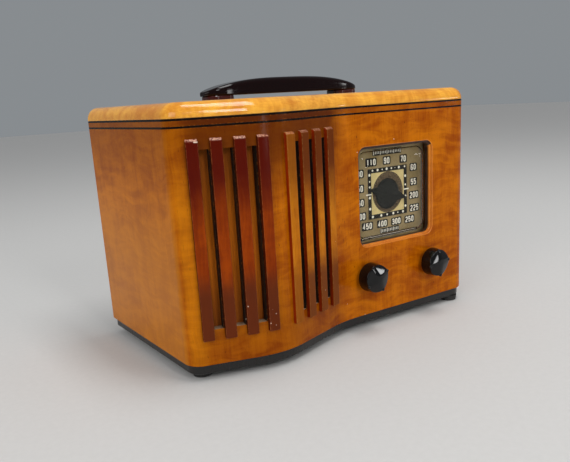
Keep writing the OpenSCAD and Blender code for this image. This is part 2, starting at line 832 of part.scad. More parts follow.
module bushing_nuts() {
    color("#c6b05a") in_cabinet() difference() {
        for (x = knob_xs) translate([x, apron_y - nut_t, knob_z]) rotate([-90, 0, 0])
            cylinder(r = nut_r, h = nut_t, $fn = 6);
        for (x = knob_xs) bar(x, apron_y - nut_t - 1, knob_z, bush_r, nut_t + 2);
    }
}

pot_r = 13;
pot_len = 15;

module volume_control() {
    x = knob_xs[0];
    y = apron_y + sheet_t;
    tag = [2.4, 0.8, 6];
    color("#77705f") in_cabinet() {
        turned(x, knob_z, [
            [shaft_r + run_gap, apron_y - nut_t - 3], [bush_r, apron_y - nut_t - 3],
            [bush_r, y], [pot_r - 1, y],
            [pot_r, y + 1], [pot_r, y + pot_len - 1], [pot_r - 1, y + pot_len], [0, y + pot_len], [0, y + 6],
            [shaft_r + run_gap, y + 6]
        ]);
        for (k = [-1 : 1])
            translate([x + 5 * k - tag.x / 2, y + 2, knob_z - pot_r - tag.z + 1]) cube(tag);
    }
}

module volume_shaft() {
    color("#b8b8b0") in_cabinet() turned(knob_xs[0], knob_z, [
        [0, shaft_front], [shaft_r - 0.4, shaft_front], [shaft_r, shaft_front + 0.4],
        [shaft_r, apron_y + sheet_t + 5.6], [0, apron_y + sheet_t + 5.6]
    ]);
}

// Knob with a tapered round flank, a four-sided bevelled front and a nub at each corner of the bevel
module knob(x, turn) {
    r = knob_d / 2;
    rim_r = 0.87 * r;
    flat_r = 1.2;
    slope = 28;
    bevel = (rim_r - flat_r) * tan(slope);
    nub_r = 1.5;
    nub_y = (rim_r * cos(45) - flat_r) * tan(slope) - knob_out;
    in_cabinet() rotate_about(x, knob_z, turn) difference() {
        union() {
            intersection() {
                turned(x, knob_z, [
                    [0, -knob_gap], [r - 0.8, -knob_gap], [r, -knob_gap - 0.8], [r, -knob_gap - 2.5],
                    [rim_r, bevel - knob_out], [rim_r, -knob_out], [0, -knob_out]
                ]);
                translate([x, 0, knob_z]) rotate([90, 0, 0]) cylinder(
                    r1 = (flat_r + knob_out / tan(slope)) / cos(45), r2 = flat_r / cos(45), h = knob_out, $fn = 4
                );
            }
            for (k = [0 : 3]) rotate_about(x, knob_z, 90 * k)
                translate([x + rim_r - 0.7, nub_y + 0.6, knob_z]) sphere(r = nub_r, $fn = 24);
        }
        bar(x, shaft_front, knob_z, shaft_r, knob_out + 1);
    }
}

module volume_knob() {
    color("#111210") knob(knob_xs[0], -27);
}

module tuning_knob() {
    color("#111210") knob(knob_xs[1], -7);
}

/* Chassis */

chassis_x0 = wall + cleat + 4;
chassis_x1 = cab_w - wall - cleat - 4;
chassis_y1 = back_y - 4;
well_x = knob_xs[0] - pot_r - 6.2;

// Plan of the chassis, an L that leaves a well for the speaker, moved inwards by d
function chassis_plan(d) = [
    [chassis_x0 + d, well_y + d], [well_x + d, well_y + d],
    [well_x + d, apron_y + d], [chassis_x1 - d, apron_y + d],
    [chassis_x1 - d, chassis_y1 - d], [chassis_x0 + d, chassis_y1 - d]
];

bolt_in = sheet_t + bolt_tab / 2;
bolt_front_y = apron_y + 24;
bolt_back_y = chassis_y1 - 20;
chassis_bolt_spots = [
    [well_x + bolt_in, bolt_front_y], [chassis_x1 - bolt_in, bolt_front_y],
    [chassis_x0 + bolt_in, bolt_back_y], [chassis_x1 - bolt_in, bolt_back_y]
];

// Places of the tubes and cans on the deck: a row along the back from the left, and the right-hand side
tube_base_r = tube_d / 2 + 0.5;
socket_plate_r = tube_base_r + 1;
can_side = 30;
row_gap = 1.5;
row_y = chassis_y1 - 19;
to_tube = 2 * socket_plate_r + row_gap;
to_can = socket_plate_r + can_side / 2 + row_gap;
row_x = chassis_x0 + socket_plate_r + 1;
can_spots = [[row_x + to_tube + to_can, row_y], [row_x + 2 * to_tube + 3 * to_can, row_y]];
tube_spots = [
    [row_x, row_y], [row_x + to_tube, row_y], [can_spots[0].x + to_can, row_y],
    [can_spots[0].x + to_can + to_tube, row_y], [dial_x + gang_w / 2 + 3 + socket_plate_r, apron_y + 30]
];
filter_spot = [chassis_x1 - 14, apron_y + 64];
tube_base_h = 19;
tube_hole_r = 11;
grommet_x = chassis_x0 + 40;
grommet_z = 14;
grommet_r = 6;

module chassis() {
    color("#9a998f") in_cabinet() difference() {
        union() {
            difference() {
                linear_extrude(deck_z) polygon(chassis_plan(0));
                translate([0, 0, -1]) linear_extrude(deck_z - sheet_t + 1) polygon(chassis_plan(sheet_t));
            }
            for (p = chassis_bolt_spots) {
                out = p.x < cab_w / 2 || p.x < dial_x ? -1 : 1;
                translate([p.x - bolt_tab / 2 + out * 0.5, p.y - bolt_tab / 2, 0])
                    cube([bolt_tab + 0.01, bolt_tab, sheet_t]);
            }
        }
        for (p = chassis_bolt_spots)
            translate([p.x, p.y, -1]) cylinder(r = chassis_bolt_r + hole_gap / 2, h = sheet_t + 2);
        for (p = tube_spots) translate([p.x, p.y, deck_z - 5]) cylinder(r = tube_hole_r, h = 10);
        for (p = gang_bolts) translate([p.x, p.y, deck_z - 5]) cylinder(r = small_bolt_r, h = 10);
        for (x = knob_xs) bar(x, apron_y - 1, knob_z, bush_r, sheet_t + 2);
        bar(grommet_x, chassis_y1 - sheet_t - 1, grommet_z, grommet_r - 1.5, sheet_t + 2);
    }
}

module chassis_bolts() {
    nut_h = 3;
    top = sheet_t + nut_h + 1;
    seat = -base_t / 2;
    color("#8a8678") in_cabinet() for (p = chassis_bolt_spots) translate([p.x, p.y, 0]) {
        rotate_extrude() polygon([
            [0, seat - 2], [3, seat - 1.8], [4, seat - 0.6], [4, seat], [chassis_bolt_r, seat],
            [chassis_bolt_r, top], [0, top]
        ]);
        translate([0, 0, sheet_t]) cylinder(r = 2 * chassis_bolt_r, h = nut_h, $fn = 6);
    }
}

module gang_screws() {
    color("#8a8678") in_cabinet() for (p = gang_bolts) translate([p.x, p.y, deck_z + gang_t])
        rotate_extrude() polygon([
            [0, -gang_t - sheet_t - 1.5], [small_bolt_r, -gang_t - sheet_t - 1.5], [small_bolt_r, 0],
            [3.2, 0], [3, 1.2], [1.6, 2], [0, 2.2]
        ]);
}

module tube_sockets() {
    color("#3a2a1d") in_cabinet() for (p = tube_spots) translate([p.x, p.y, deck_z])
        rotate_extrude() polygon([
            [0, -9], [8, -9], [tube_hole_r - slip_gap, -7], [tube_hole_r - slip_gap, 0],
            [socket_plate_r, 0], [socket_plate_r, 1.4], [0, 1.4]
        ]);
}

module tube_bases() {
    color("#241712") in_cabinet() for (p = tube_spots) translate([p.x, p.y, deck_z + 1.4])
        rotate_extrude() polygon([
            [0, 0], [tube_base_r - 1, 0], [tube_base_r, 1], [tube_base_r, tube_base_h],
            [tube_base_r - 1.5, tube_base_h], [tube_base_r - 1.5, tube_base_h - 6], [0, tube_base_h - 6]
        ]);
}

// Bulb with a straight wall, a domed crown and a small tip
module tube_bulbs() {
    r = tube_base_r - 1.5;
    h = tube_h - tube_base_h + 6;
    z = deck_z + 1.4 + tube_base_h - 6;
    color("#8c8f86", 0.6) in_cabinet() for (p = tube_spots) translate([p.x, p.y, z])
        rotate_extrude() polygon(concat(
            [[0, 0], [r, 0], [r, h - r]],
            [for (k = [1 : 8]) [r * cos(10 * k), h - r + r * sin(10 * k) * 0.9]],
            [[1.6, h - 0.12 * r], [0, h]]
        ));
}

module if_cans() {
    h = 66;
    color("#c9c9c2") in_cabinet() for (p = can_spots) translate([p.x, p.y, deck_z]) difference() {
        union() {
            linear_extrude(h) round_rect(can_side, can_side, 4);
            translate([0, 0, h]) linear_extrude(1) round_rect(can_side - 4, can_side - 4, 3);
        }
        for (x = [-6, 6]) translate([x, 0, h - 3]) cylinder(r = 2.5, h = 6);
    }
}

module filter_capacitor() {
    r = 9;
    h = 54;
    color("#a9a08a") in_cabinet() translate([filter_spot.x, filter_spot.y, deck_z])
        rotate_extrude() polygon([
            [0, 0], [r + 1, 0], [r + 1, 1.5], [r, 1.5], [r, h - 1], [r - 1, h], [r - 2, h - 1.2], [0, h - 1.2]
        ]);
}

// Output transformer between the speaker and the gang
trafo = [13, 34, 30];
trafo_at = [dial_x - gang_w / 2 - trafo.x - 11, apron_y + 16];

module transformer_core() {
    window = [trafo.y * 0.22, trafo.z * 0.55];
    color("#55524c") in_cabinet() translate([trafo_at.x, trafo_at.y, deck_z]) difference() {
        cube(trafo);
        for (k = [0.16, 0.62])
            translate([-1, trafo.y * k, (trafo.z - window.y) / 2]) cube([trafo.x + 2, window.x, window.y]);
    }
}

module transformer_coil() {
    side = 4;
    window_h = trafo.z * 0.55 - 2 * slip_gap;
    z0 = (trafo.z - window_h) / 2;
    y0 = trafo.y * 0.16 + slip_gap;
    y1 = trafo.y * 0.84 - slip_gap;
    limb0 = trafo.y * 0.38;
    limb1 = trafo.y * 0.62;
    color("#b48a4a") in_cabinet() translate([trafo_at.x, trafo_at.y, deck_z + z0]) difference() {
        translate([-side, y0, 0]) cube([trafo.x + 2 * side, y1 - y0, window_h]);
        translate([-slip_gap, limb0 - slip_gap / 2, -1])
            cube([trafo.x + 2 * slip_gap, limb1 - limb0 + slip_gap, window_h + 2]);
    }
}

module cord_grommet() {
    y = chassis_y1 - sheet_t;
    color("#171614") in_cabinet() turned(grommet_x, grommet_z, [
        [3, y - 2], [grommet_r, y - 2], [grommet_r, y], [grommet_r - 1.5, y], [grommet_r - 1.5, y + sheet_t],
        [grommet_r, y + sheet_t], [grommet_r, y + sheet_t + 2], [3, y + sheet_t + 2]
    ]);
}

/* Back */

vent_w = 3.6;
vent_h = 26;
vent_pitch = 9;
vent_rows = [62, 104];

// Pressed fibre back with two rows of upright slots and a notch over the cord inlet
module back_cover() {
    half_span = cab_w / 2 - wall - 2 * cleat - 8;
    count = floor(2 * half_span / vent_pitch);
    color("#3b2a1c") in_cabinet() difference() {
        translate([wall + slip_gap, back_y, slip_gap])
            cube([cab_w - 2 * wall - 2 * slip_gap, back_t, wrap_h - 2 * slip_gap]);
        for (z = vent_rows, k = [0 : count])
            translate([cab_w / 2 + (k - count / 2) * vent_pitch, 0, z + vent_h / 2])
                slab(back_y - 1, back_t + 2) round_rect(vent_w, vent_h, vent_w / 2 - 0.01);
        bar(grommet_x, back_y - 1, grommet_z, grommet_r + 3, back_t + 2);
        for (p = back_screw_spots) bar(p.x, back_y - 1, p.y, back_screw_r + hole_gap / 2, back_t + 2);
    }
}

module back_screws() {
    color("#9a9484") in_cabinet() for (p = back_screw_spots) turned(p.x, p.y, [
        [0, back_y - screw_depth + 1], [back_screw_r, back_y - screw_depth + 2.5], [back_screw_r, back_y + back_t],
        [3.2, back_y + back_t], [2.8, back_y + back_t + 1.2], [0, back_y + back_t + 1.8]
    ]);
}

/* Speaker */

baffle_t = 5;
baffle_y = wall + 2;
rim_y = baffle_y + baffle_t;
rim_r = speaker_d / 2;
cone_r = rim_r - 10;
neck_r = 21;
neck_y = rim_y + basket_h;
coil_r = 11;
bolt_ring = rim_r - 3.2;
gasket_t = 1.2;
rim_t = 1.4;
basket_y = rim_y + gasket_t;
speaker_bolt_r = 1.6;
yoke_len = 20;

module speaker_spots() {
    for (k = [0 : 3]) rotate_about(speaker_x, speaker_z, 45 + 90 * k)
        translate([speaker_x, 0, speaker_z + bolt_ring]) children();
}

module baffle_board() {
    color("#8a6a3c") in_cabinet() difference() {
        translate([wall + slip_gap, baffle_y, 0])
            cube([bay_w - wall - slip_gap, baffle_t, wrap_h - block - slip_gap]);
        bar(speaker_x, baffle_y - 1, speaker_z, cone_r + 1, baffle_t + 2);
        speaker_spots() bar(0, baffle_y - 1, 0, speaker_bolt_r, baffle_t + 2);
    }
}

// Pressed basket: flat rim, sloping wall with six windows, and the plate that takes the yoke
module speaker_basket() {
    window_w = 20;
    color("#2e3330") in_cabinet() difference() {
        turned(speaker_x, speaker_z, [
            [cone_r + 2, basket_y], [rim_r, basket_y], [rim_r, basket_y + rim_t], [cone_r + 3.4, basket_y + rim_t],
            [cone_r + 2.4, rim_y + 5], [neck_r + 1, neck_y - 0.2], [neck_r, neck_y], [coil_r + 4, neck_y],
            [coil_r + 4, neck_y - 1.2], [neck_r - 0.6, neck_y - 1.2], [cone_r + 0.8, rim_y + 5]
        ]);
        for (k = [0 : 5]) rotate_about(speaker_x, speaker_z, 60 * k)
            translate([speaker_x - window_w / 2, rim_y + 8, speaker_z + neck_r + 2])
                cube([window_w, basket_h - 12, cone_r - neck_r + 4]);
        speaker_spots() bar(0, basket_y - 1, 0, speaker_bolt_r, rim_t + 2);
    }
}

// Cardboard ring between the baffle and the rim, with the corrugated edge that holds the cone
module speaker_gasket() {
    edge = cone_r - 2.6 + slip_gap;
    color("#6d5b46") in_cabinet() difference() {
        turned(speaker_x, speaker_z, [
            [edge, rim_y + 0.9], [edge + 1, rim_y + 0.2], [edge + 2, rim_y + 0.9], [edge + 3, rim_y],
            [rim_r - 0.4, rim_y], [rim_r - 0.4, basket_y], [edge + 3.2, basket_y], [edge + 2, rim_y + 1.6],
            [edge + 1, rim_y + 0.9], [edge, rim_y + 1.6]
        ]);
        speaker_spots() bar(0, rim_y - 1, 0, speaker_bolt_r, gasket_t + 2);
    }
}

// Corrugated disc that centres the voice coil in the basket's neck
module speaker_spider() {
    inner = coil_r + 0.5 + slip_gap;
    y = neck_y - 1.2;
    color("#a07a4a") in_cabinet() turned(speaker_x, speaker_z, [
        [inner, y - 3.2], [inner + 2, y - 2.5], [inner + 4, y - 3.2], [neck_r - 2, y - 2.6], [neck_r - 1.2, y],
        [neck_r - 2.4, y], [neck_r - 3, y - 2], [inner + 4, y - 2.6], [inner + 2, y - 1.9], [inner, y - 2.6]
    ]);
}

module speaker_bolts() {
    color("#8a8678") in_cabinet() speaker_spots() {
        turned(0, 0, [
            [0, baffle_y - 1.6], [2.8, baffle_y - 1], [3, baffle_y], [speaker_bolt_r, baffle_y],
            [speaker_bolt_r, basket_y + 5], [0, basket_y + 5]
        ]);
        translate([0, basket_y + rim_t, 0]) rotate([-90, 0, 0]) cylinder(r = 3, h = 2.4, $fn = 6);
    }
}

cone_front = rim_y + 2.6 + cone_travel;
cone_t = 0.7;

// Paper cone with a flat outer edge
module speaker_cone() {
    color("#3a3128") in_cabinet() turned(speaker_x, speaker_z, [
        [cone_r - 4, cone_front - 0.4], [cone_r - 2.6, cone_front - 0.4], [cone_r - 2.6, cone_front + cone_t - 0.4],
        [cone_r - 4.4, cone_front + cone_t - 0.4],
        [coil_r + 0.7, cone_back + cone_t], [coil_r, cone_back + cone_t], [coil_r, cone_back]
    ]);
}

cone_back = neck_y - 9;

module dust_cap() {
    color("#2b241d") in_cabinet() turned(speaker_x, speaker_z, [
        [0, cone_back - 6], [4, cone_back - 5.6], [8, cone_back - 3.6], [coil_r + 1, cone_back - 1],
        [coil_r, cone_back - 0.02], [7.4, cone_back - 2.8], [3.8, cone_back - 4.9], [0, cone_back - 5.3]
    ]);
}

module voice_coil() {
    color("#a5623a") in_cabinet() turned(speaker_x, speaker_z, [
        [coil_r, cone_back + cone_t], [coil_r + 0.5, cone_back + cone_t], [coil_r + 0.5, neck_y + 4],
        [coil_r, neck_y + 4]
    ]);
}

// Iron pot with its centre pole; the coil moves in the gap at its mouth
module speaker_yoke() {
    mouth = coil_r + 1.2;
    pole = coil_r - 0.7;
    color("#4b4b47") in_cabinet() turned(speaker_x, speaker_z, [
        [0, neck_y - 1], [pole, neck_y - 1], [pole, neck_y + yoke_len - 4], [neck_r - 3, neck_y + yoke_len - 4],
        [neck_r - 3, neck_y + 3], [mouth, neck_y + 3], [mouth, neck_y], [neck_r, neck_y],
        [neck_r, neck_y + yoke_len - 1], [neck_r - 1, neck_y + yoke_len], [0, neck_y + yoke_len]
    ]);
}

module field_coil() {
    color("#7a3b1e") in_cabinet() turned(speaker_x, speaker_z, [
        [coil_r + 1.4, neck_y + 5.6], [neck_r - 3.2, neck_y + 5.6], [neck_r - 3.2, neck_y + yoke_len - 4],
        [coil_r + 1.4, neck_y + yoke_len - 4]
    ]);
}

cabinet_wrap();
top_panel();
string_upper();
string_lower();
slats_left();
slats_right();
grille_cloth();
back_cleats();
glue_blocks();
base_board();
rubber_feet();
foot_screws();
handle();
handle_pads();
handle_screws();
dial_lens();
lens_screws();
dial_plate();
dial_rivets();
dial_bracket();
lamp_socket();
pilot_lamp();
gang_frame();
gang_screws();
stator_plates();
rotor_plates();
gang_shaft();
dial_drum();
dial_pointer();
drive_cord();
tuning_bushing();
tuning_spindle();
tuning_knob();
bushing_nuts();
volume_control();
volume_shaft();
volume_knob();
chassis();
chassis_bolts();
tube_sockets();
tube_bases();
tube_bulbs();
if_cans();
filter_capacitor();
transformer_core();
transformer_coil();
cord_grommet();
back_cover();
back_screws();
baffle_board();
speaker_basket();
speaker_gasket();
speaker_spider();
speaker_bolts();
speaker_cone();
dust_cap();
voice_coil();
speaker_yoke();
field_coil();
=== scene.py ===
"""Looks of the table radio: cabinet, grille, dial, controls, handle and back, in a plain studio."""

import math
from collections import namedtuple

import bmesh
import bpy
from mathutils import Matrix, Vector
from mathutils.geometry import delaunay_2d_cdt
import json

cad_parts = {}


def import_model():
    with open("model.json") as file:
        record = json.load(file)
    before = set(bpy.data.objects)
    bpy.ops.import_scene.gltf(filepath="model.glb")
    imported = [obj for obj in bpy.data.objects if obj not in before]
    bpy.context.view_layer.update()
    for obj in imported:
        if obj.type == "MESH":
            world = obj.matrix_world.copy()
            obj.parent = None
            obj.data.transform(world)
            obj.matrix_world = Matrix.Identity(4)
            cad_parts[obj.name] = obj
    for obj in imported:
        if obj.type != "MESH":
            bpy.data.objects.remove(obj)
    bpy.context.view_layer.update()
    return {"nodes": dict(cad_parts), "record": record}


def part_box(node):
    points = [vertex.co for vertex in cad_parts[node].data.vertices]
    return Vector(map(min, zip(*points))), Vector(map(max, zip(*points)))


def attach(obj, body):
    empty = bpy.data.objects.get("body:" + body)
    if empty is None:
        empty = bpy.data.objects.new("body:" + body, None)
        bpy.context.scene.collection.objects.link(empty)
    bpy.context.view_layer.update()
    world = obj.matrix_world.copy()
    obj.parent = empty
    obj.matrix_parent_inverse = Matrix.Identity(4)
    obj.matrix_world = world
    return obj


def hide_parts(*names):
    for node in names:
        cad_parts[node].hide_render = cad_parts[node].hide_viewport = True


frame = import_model()

# Sizes are millimetres from the left side, the flat front and the base board's top.
MM = 0.001
DEPTH, WALL = 137.5, 6.5
wrap_low, wrap_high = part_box("cabinet_wrap")
ORIGIN = Vector((wrap_low.x, wrap_high.y - DEPTH * MM, wrap_low.z))
WIDTH = (wrap_high.x - wrap_low.x) / MM
HEIGHT = (wrap_high.z - wrap_low.z) / MM


def at(x, y, z):
    """Point of the cabinet in metres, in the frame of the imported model."""
    return ORIGIN + Vector((x, y, z)) * MM


# Camera: frame, focal length and centre of view in pixels, sensor in millimetres, and its place and turn
FRAME_W, FRAME_H = 570, 462
FOCAL, SENSOR = 650.9, 36.0
AIM = (284.6, 273.7)
CAMERA_PLACE = (-164.28, -363.01, 163.41)
YAW, PITCH, ROLL = (math.radians(a) for a in (33.76, 14.86, -3.37))


def add_to_scene(obj):
    bpy.context.scene.collection.objects.link(obj)


def add_camera():
    ahead = Vector((math.sin(YAW) * math.cos(PITCH), math.cos(YAW) * math.cos(PITCH), -math.sin(PITCH)))
    level = Vector((math.cos(YAW), -math.sin(YAW), 0))
    above = level.cross(ahead)
    right = level * math.cos(ROLL) + above * math.sin(ROLL)
    up = above * math.cos(ROLL) - level * math.sin(ROLL)
    data = bpy.data.cameras.new("photo_view")
    data.sensor_fit = "HORIZONTAL"
    data.sensor_width = SENSOR
    data.lens = FOCAL * SENSOR / FRAME_W
    data.shift_x = (FRAME_W / 2 - AIM[0]) / FRAME_W
    data.shift_y = (AIM[1] - FRAME_H / 2) / FRAME_W
    data.clip_start = 0.01
    camera = bpy.data.objects.new("photo_view", data)
    facing = Matrix((right, up, -ahead)).transposed().to_4x4()
    camera.matrix_world = Matrix.Translation(at(*CAMERA_PLACE)) @ facing
    add_to_scene(camera)
    bpy.context.scene.camera = camera


add_camera()


# Plan of the cabinet: straight runs and arcs along the outer face, from the back left to the back right

BAY_PEAK = (62.7, -22.2)
BAY_LEFT = 3.0
BAY_END = 130.3
CORNER_R, PEAK_R, VALLEY_R = 13.0, 60.0, 95.0
ARC_STEP = math.radians(2)
LEFT_ANGLE = math.atan2(BAY_LEFT + BAY_PEAK[1], BAY_PEAK[0])
RIGHT_ANGLE = math.atan2(-BAY_PEAK[1], BAY_END - BAY_PEAK[0])


def plan_runs():
    """Runs of the outer face: (length, start, direction angle, turn), where turn is 0 for a straight run."""
    corners = (0, DEPTH), (0, -BAY_LEFT), BAY_PEAK, (BAY_END, 0), (WIDTH, 0), (WIDTH, DEPTH)
    corners = [Vector(c) for c in corners]
    radii = [0, CORNER_R, PEAK_R, VALLEY_R, CORNER_R, 0]
    runs = []
    here = corners[0]
    for i in range(1, 6):
        ahead = (corners[i] - corners[i - 1]).normalized()
        angle = math.atan2(ahead.y, ahead.x)
        if i == 5:
            runs.append(((corners[i] - here).length, here, angle, 0.0))
            break
        after = (corners[i + 1] - corners[i]).normalized()
        turn = math.atan2(ahead.cross(after), ahead.dot(after))
        cut = radii[i] * math.tan(abs(turn) / 2)
        start = corners[i] - ahead * cut
        runs.append(((start - here).length, here, angle, 0.0))
        runs.append((radii[i] * abs(turn), start, angle, turn))
        here = corners[i] + after * cut
    return runs


RUNS = plan_runs()
LENGTH = sum(run[0] for run in RUNS)


def bend(s, depth):
    """Point (x, y) at distance s along the outer face, moved into the wood by depth."""
    s = min(max(s, 0.0), LENGTH)
    for length, start, angle, turn in RUNS:
        if s <= length + 1e-9:
            break
        s -= length
    if turn:
        radius = length / abs(turn)
        side = math.copysign(1, turn)
        centre = start + Vector((-math.sin(angle), math.cos(angle))) * radius * side
        facing = angle + turn * s / length
        out = Vector((math.sin(facing), -math.cos(facing)))
        return centre + out * side * radius - out * depth
    ahead = Vector((math.cos(angle), math.sin(angle)))
    return start + ahead * s + Vector((-ahead.y, ahead.x)) * depth


def stations():
    """Distances along the outer face where a ring needs a point."""
    found, passed = [0.0], 0.0
    for length, _, _, turn in RUNS:
        count = max(1, math.ceil(abs(turn) / ARC_STEP))
        found += [passed + length * k / count for k in range(1, count + 1)]
        passed += length
    return found


STATIONS = stations()


def along_front(x):
    """Distance along the outer face at which the front reaches x."""
    low, high = RUNS[0][0], LENGTH - RUNS[-1][0]
    for _ in range(40):
        middle = (low + high) / 2
        if bend(middle, 0).x < x:
            low = middle
        else:
            high = middle
    return (low + high) / 2


# Slats, slots, dial opening, knobs and strings
SLAT_W, SLAT_OUT, SLAT_PITCH, SLAT_START = 7.6, 3.0, 14.75, 9.1
SLAT_Z, SLAT_TOP, SLAT_SLOPE = 17.5, 144.5, 1.7
SLAT_COUNT = 4
LAST_SLAT = SLAT_START + (SLAT_COUNT - 1) * SLAT_PITCH
SLOT_W, SLOT_MARGIN = 6.0, 6.6


def facet_s(side, u):
    """Distance along the outer face of a place u along the left or right facet."""
    if side == "left":
        return along_front(u * math.cos(LEFT_ANGLE))
    return along_front(BAY_PEAK[0] + u * math.cos(RIGHT_ANGLE))


def facet_x(side, u):
    """Distance from the left side of a place u along a facet."""
    return bend(facet_s(side, u), 0).x


def facet_slots(side):
    """Both edges of each slot on a facet, as distances along the outer face."""
    gap = SLAT_PITCH - SLAT_W
    for i in range(SLAT_COUNT - 1):
        u = SLAT_START + SLAT_W + i * SLAT_PITCH + (gap - SLOT_W) / 2
        yield facet_s(side, u), facet_s(side, u + SLOT_W)


DIAL_X, DIAL_Z, DIAL_W, DIAL_H, DIAL_R, LIP = 186.5, 90.4, 76.0, 74.0, 5.0, 1.6
KNOB_X, KNOB_Z = 33.0, 31.0
SHAFT_R = 3.175
STRING_H, STRING_GAP, STRING_D = 1.3, 4.5, 1.2
STRING_ZS = (HEIGHT - STRING_H - STRING_GAP, HEIGHT - STRING_H)


# Shader nodes


def node(tree, kind, values=None, **settings):
    """Adds a shader node. Values go to its inputs: numbers, colours, or sockets to link."""
    made = tree.nodes.new("ShaderNode" + kind)
    for name, setting in settings.items():
        setattr(made, name, setting)
    for key, value in (values or {}).items():
        fill(tree, made.inputs[key], value)
    return made


def fill(tree, socket, value):
    if isinstance(value, bpy.types.NodeSocket):
        tree.links.new(value, socket)
    elif socket.type == "RGBA" and len(value) == 3:
        socket.default_value = (*value, 1)
    else:
        socket.default_value = value


def calc(tree, operation, *values, clamp=False):
    return node(tree, "Math", dict(enumerate(values)), operation=operation, use_clamp=clamp).outputs[0]


def times(tree, a, b, clamp=False):
    return calc(tree, "MULTIPLY", a, b, clamp=clamp)


def minus(tree, a, b, clamp=False):
    return calc(tree, "SUBTRACT", a, b, clamp=clamp)


def scaled(tree, value, factor, start):
    """value * factor + start"""
    return calc(tree, "MULTIPLY_ADD", value, factor, start)


def vector_calc(tree, operation, a, b):
    """Result of an operation on two vectors, or for SCALE a vector and a number."""
    made = node(tree, "VectorMath", {0: a, 3 if operation == "SCALE" else 1: b}, operation=operation)
    return made.outputs["Value" if operation in ("DISTANCE", "DOT_PRODUCT") else "Vector"]


def between(tree, value, low, high, start=0.0, end=1.0):
    """Value brought from low..high to start..end, smoothly and held at both ends."""
    values = {0: value, 1: low, 2: high, 3: start, 4: end}
    return node(tree, "MapRange", values, interpolation_type="SMOOTHSTEP").outputs[0]


def blended(tree, share, a, b):
    """Colour a with its share of colour b."""
    return node(tree, "Mix", {0: share, 6: a, 7: b}, data_type="RGBA").outputs[2]


def stretched(tree, place, factors):
    return vector_calc(tree, "MULTIPLY", place, factors)


def noise(tree, place, scale, detail, roughness=0.5, distortion=0.0):
    values = {"Vector": place, "Scale": scale, "Detail": detail, "Roughness": roughness,
              "Distortion": distortion}
    return node(tree, "TexNoise", values).outputs["Fac"]


def group(name, inputs, outputs):
    """New shader group. Inputs and outputs map a socket's name to its start value."""
    kinds = {float: "NodeSocketFloat", tuple: "NodeSocketColor", Vector: "NodeSocketVector"}
    tree = bpy.data.node_groups.new(name, "ShaderNodeTree")
    for side, sockets in (("INPUT", inputs), ("OUTPUT", outputs)):
        for label, value in sockets.items():
            socket = tree.interface.new_socket(label, in_out=side, socket_type=kinds[type(value)])
            if type(value) is not Vector:
                socket.default_value = (*value, 1) if type(value) is tuple else value
    return tree, tree.nodes.new("NodeGroupInput").outputs, tree.nodes.new("NodeGroupOutput").inputs


def use(tree, shader_group, values):
    placed = tree.nodes.new("ShaderNodeGroup")
    placed.node_tree = shader_group
    for key, value in values.items():
        fill(tree, placed.inputs[key], value)
    return placed.outputs


def place_of(tree):
    """Place on the piece, in millimetres."""
    return vector_calc(tree, "SCALE", node(tree, "TexCoord").outputs["Object"], 1 / MM)


def in_cabinet(tree, place, axis):
    """Place along one axis from the cabinet's left side, flat front and base board's top, in millimetres."""
    along = node(tree, "SeparateXYZ", {0: place}).outputs[axis]
    return minus(tree, along, ORIGIN[axis] / MM)


def make_veneer():
    """Figured veneer with its grain along Z: fibres, curl across them, clouds and short dark pores."""
    tree, given, out = group(
        "veneer",
        {"Place": Vector(), "Pale": (0.8, 0.5, 0.2), "Deep": (0.4, 0.2, 0.1), "Pore": (0.1, 0.03, 0.01),
         "Curl": 0.5, "Clouds": 0.5, "Fibres": 0.5, "Pores": 0.5},
        {"Color": (0.5, 0.5, 0.5), "Figure": 0.5, "Height": 0.0},
    )
    place = given["Place"]
    drift = node(tree, "TexNoise", {"Vector": place, "Scale": 0.022, "Detail": 2.0}).outputs["Color"]
    centred = vector_calc(tree, "SUBTRACT", drift, (0.5, 0.5, 0.5))
    bent = vector_calc(tree, "ADD", place, stretched(tree, centred, (10, 10, 26)))
    fibres = noise(tree, stretched(tree, bent, (0.9, 0.9, 0.035)), 1.0, 5.0, 0.62)
    streaks = noise(tree, stretched(tree, bent, (0.16, 0.16, 0.009)), 1.0, 3.0, 0.55)
    curl = noise(tree, stretched(tree, bent, (0.042, 0.042, 0.21)), 1.0, 4.0, 0.6, 0.35)
    clouds = noise(tree, place, 0.042, 3.0, 0.5, 0.8)
    pores = noise(tree, stretched(tree, bent, (1.5, 1.5, 0.2)), 1.0, 2.0, 0.55)
    figure = 0.5
    for part, strength in ((fibres, "Fibres"), (streaks, "Fibres"), (curl, "Curl"), (clouds, "Clouds")):
        figure = scaled(tree, minus(tree, part, 0.5), given[strength], figure)
    figure = between(tree, figure, 0.1, 0.9)
    colour = blended(tree, figure, given["Deep"], given["Pale"])
    pore = times(tree, between(tree, pores, 0.66, 0.78), given["Pores"], clamp=True)
    fill(tree, out["Color"], blended(tree, pore, colour, given["Pore"]))
    fill(tree, out["Figure"], figure)
    fill(tree, out["Height"], scaled(tree, pore, -1.0, fibres))
    return tree


def make_edges():
    """Mask of the edges and corners within Width, found from a rounded normal and broken up by noise."""
    tree, given, out = group(
        "worn_edges", {"Place": Vector(), "Width": 0.5, "Grain": 0.6, "Wear": 0.5}, {"Mask": 0.0}
    )
    width = times(tree, given["Width"], MM)
    rounded = node(tree, "Bevel", {"Radius": width}, samples=4).outputs[0]
    true = node(tree, "NewGeometry").outputs["Normal"]
    facing = vector_calc(tree, "DOT_PRODUCT", rounded, true)
    turned_away = between(tree, minus(tree, 1.0, facing), 0.004, 0.06)
    broken = noise(tree, given["Place"], given["Grain"], 4.0, 0.7)
    kept = calc(tree, "GREATER_THAN", broken, minus(tree, 0.85, given["Wear"]))
    soft = times(tree, between(tree, broken, 0.35, 0.7), kept)
    fill(tree, out["Mask"], times(tree, turned_away, soft, clamp=True))
    return tree


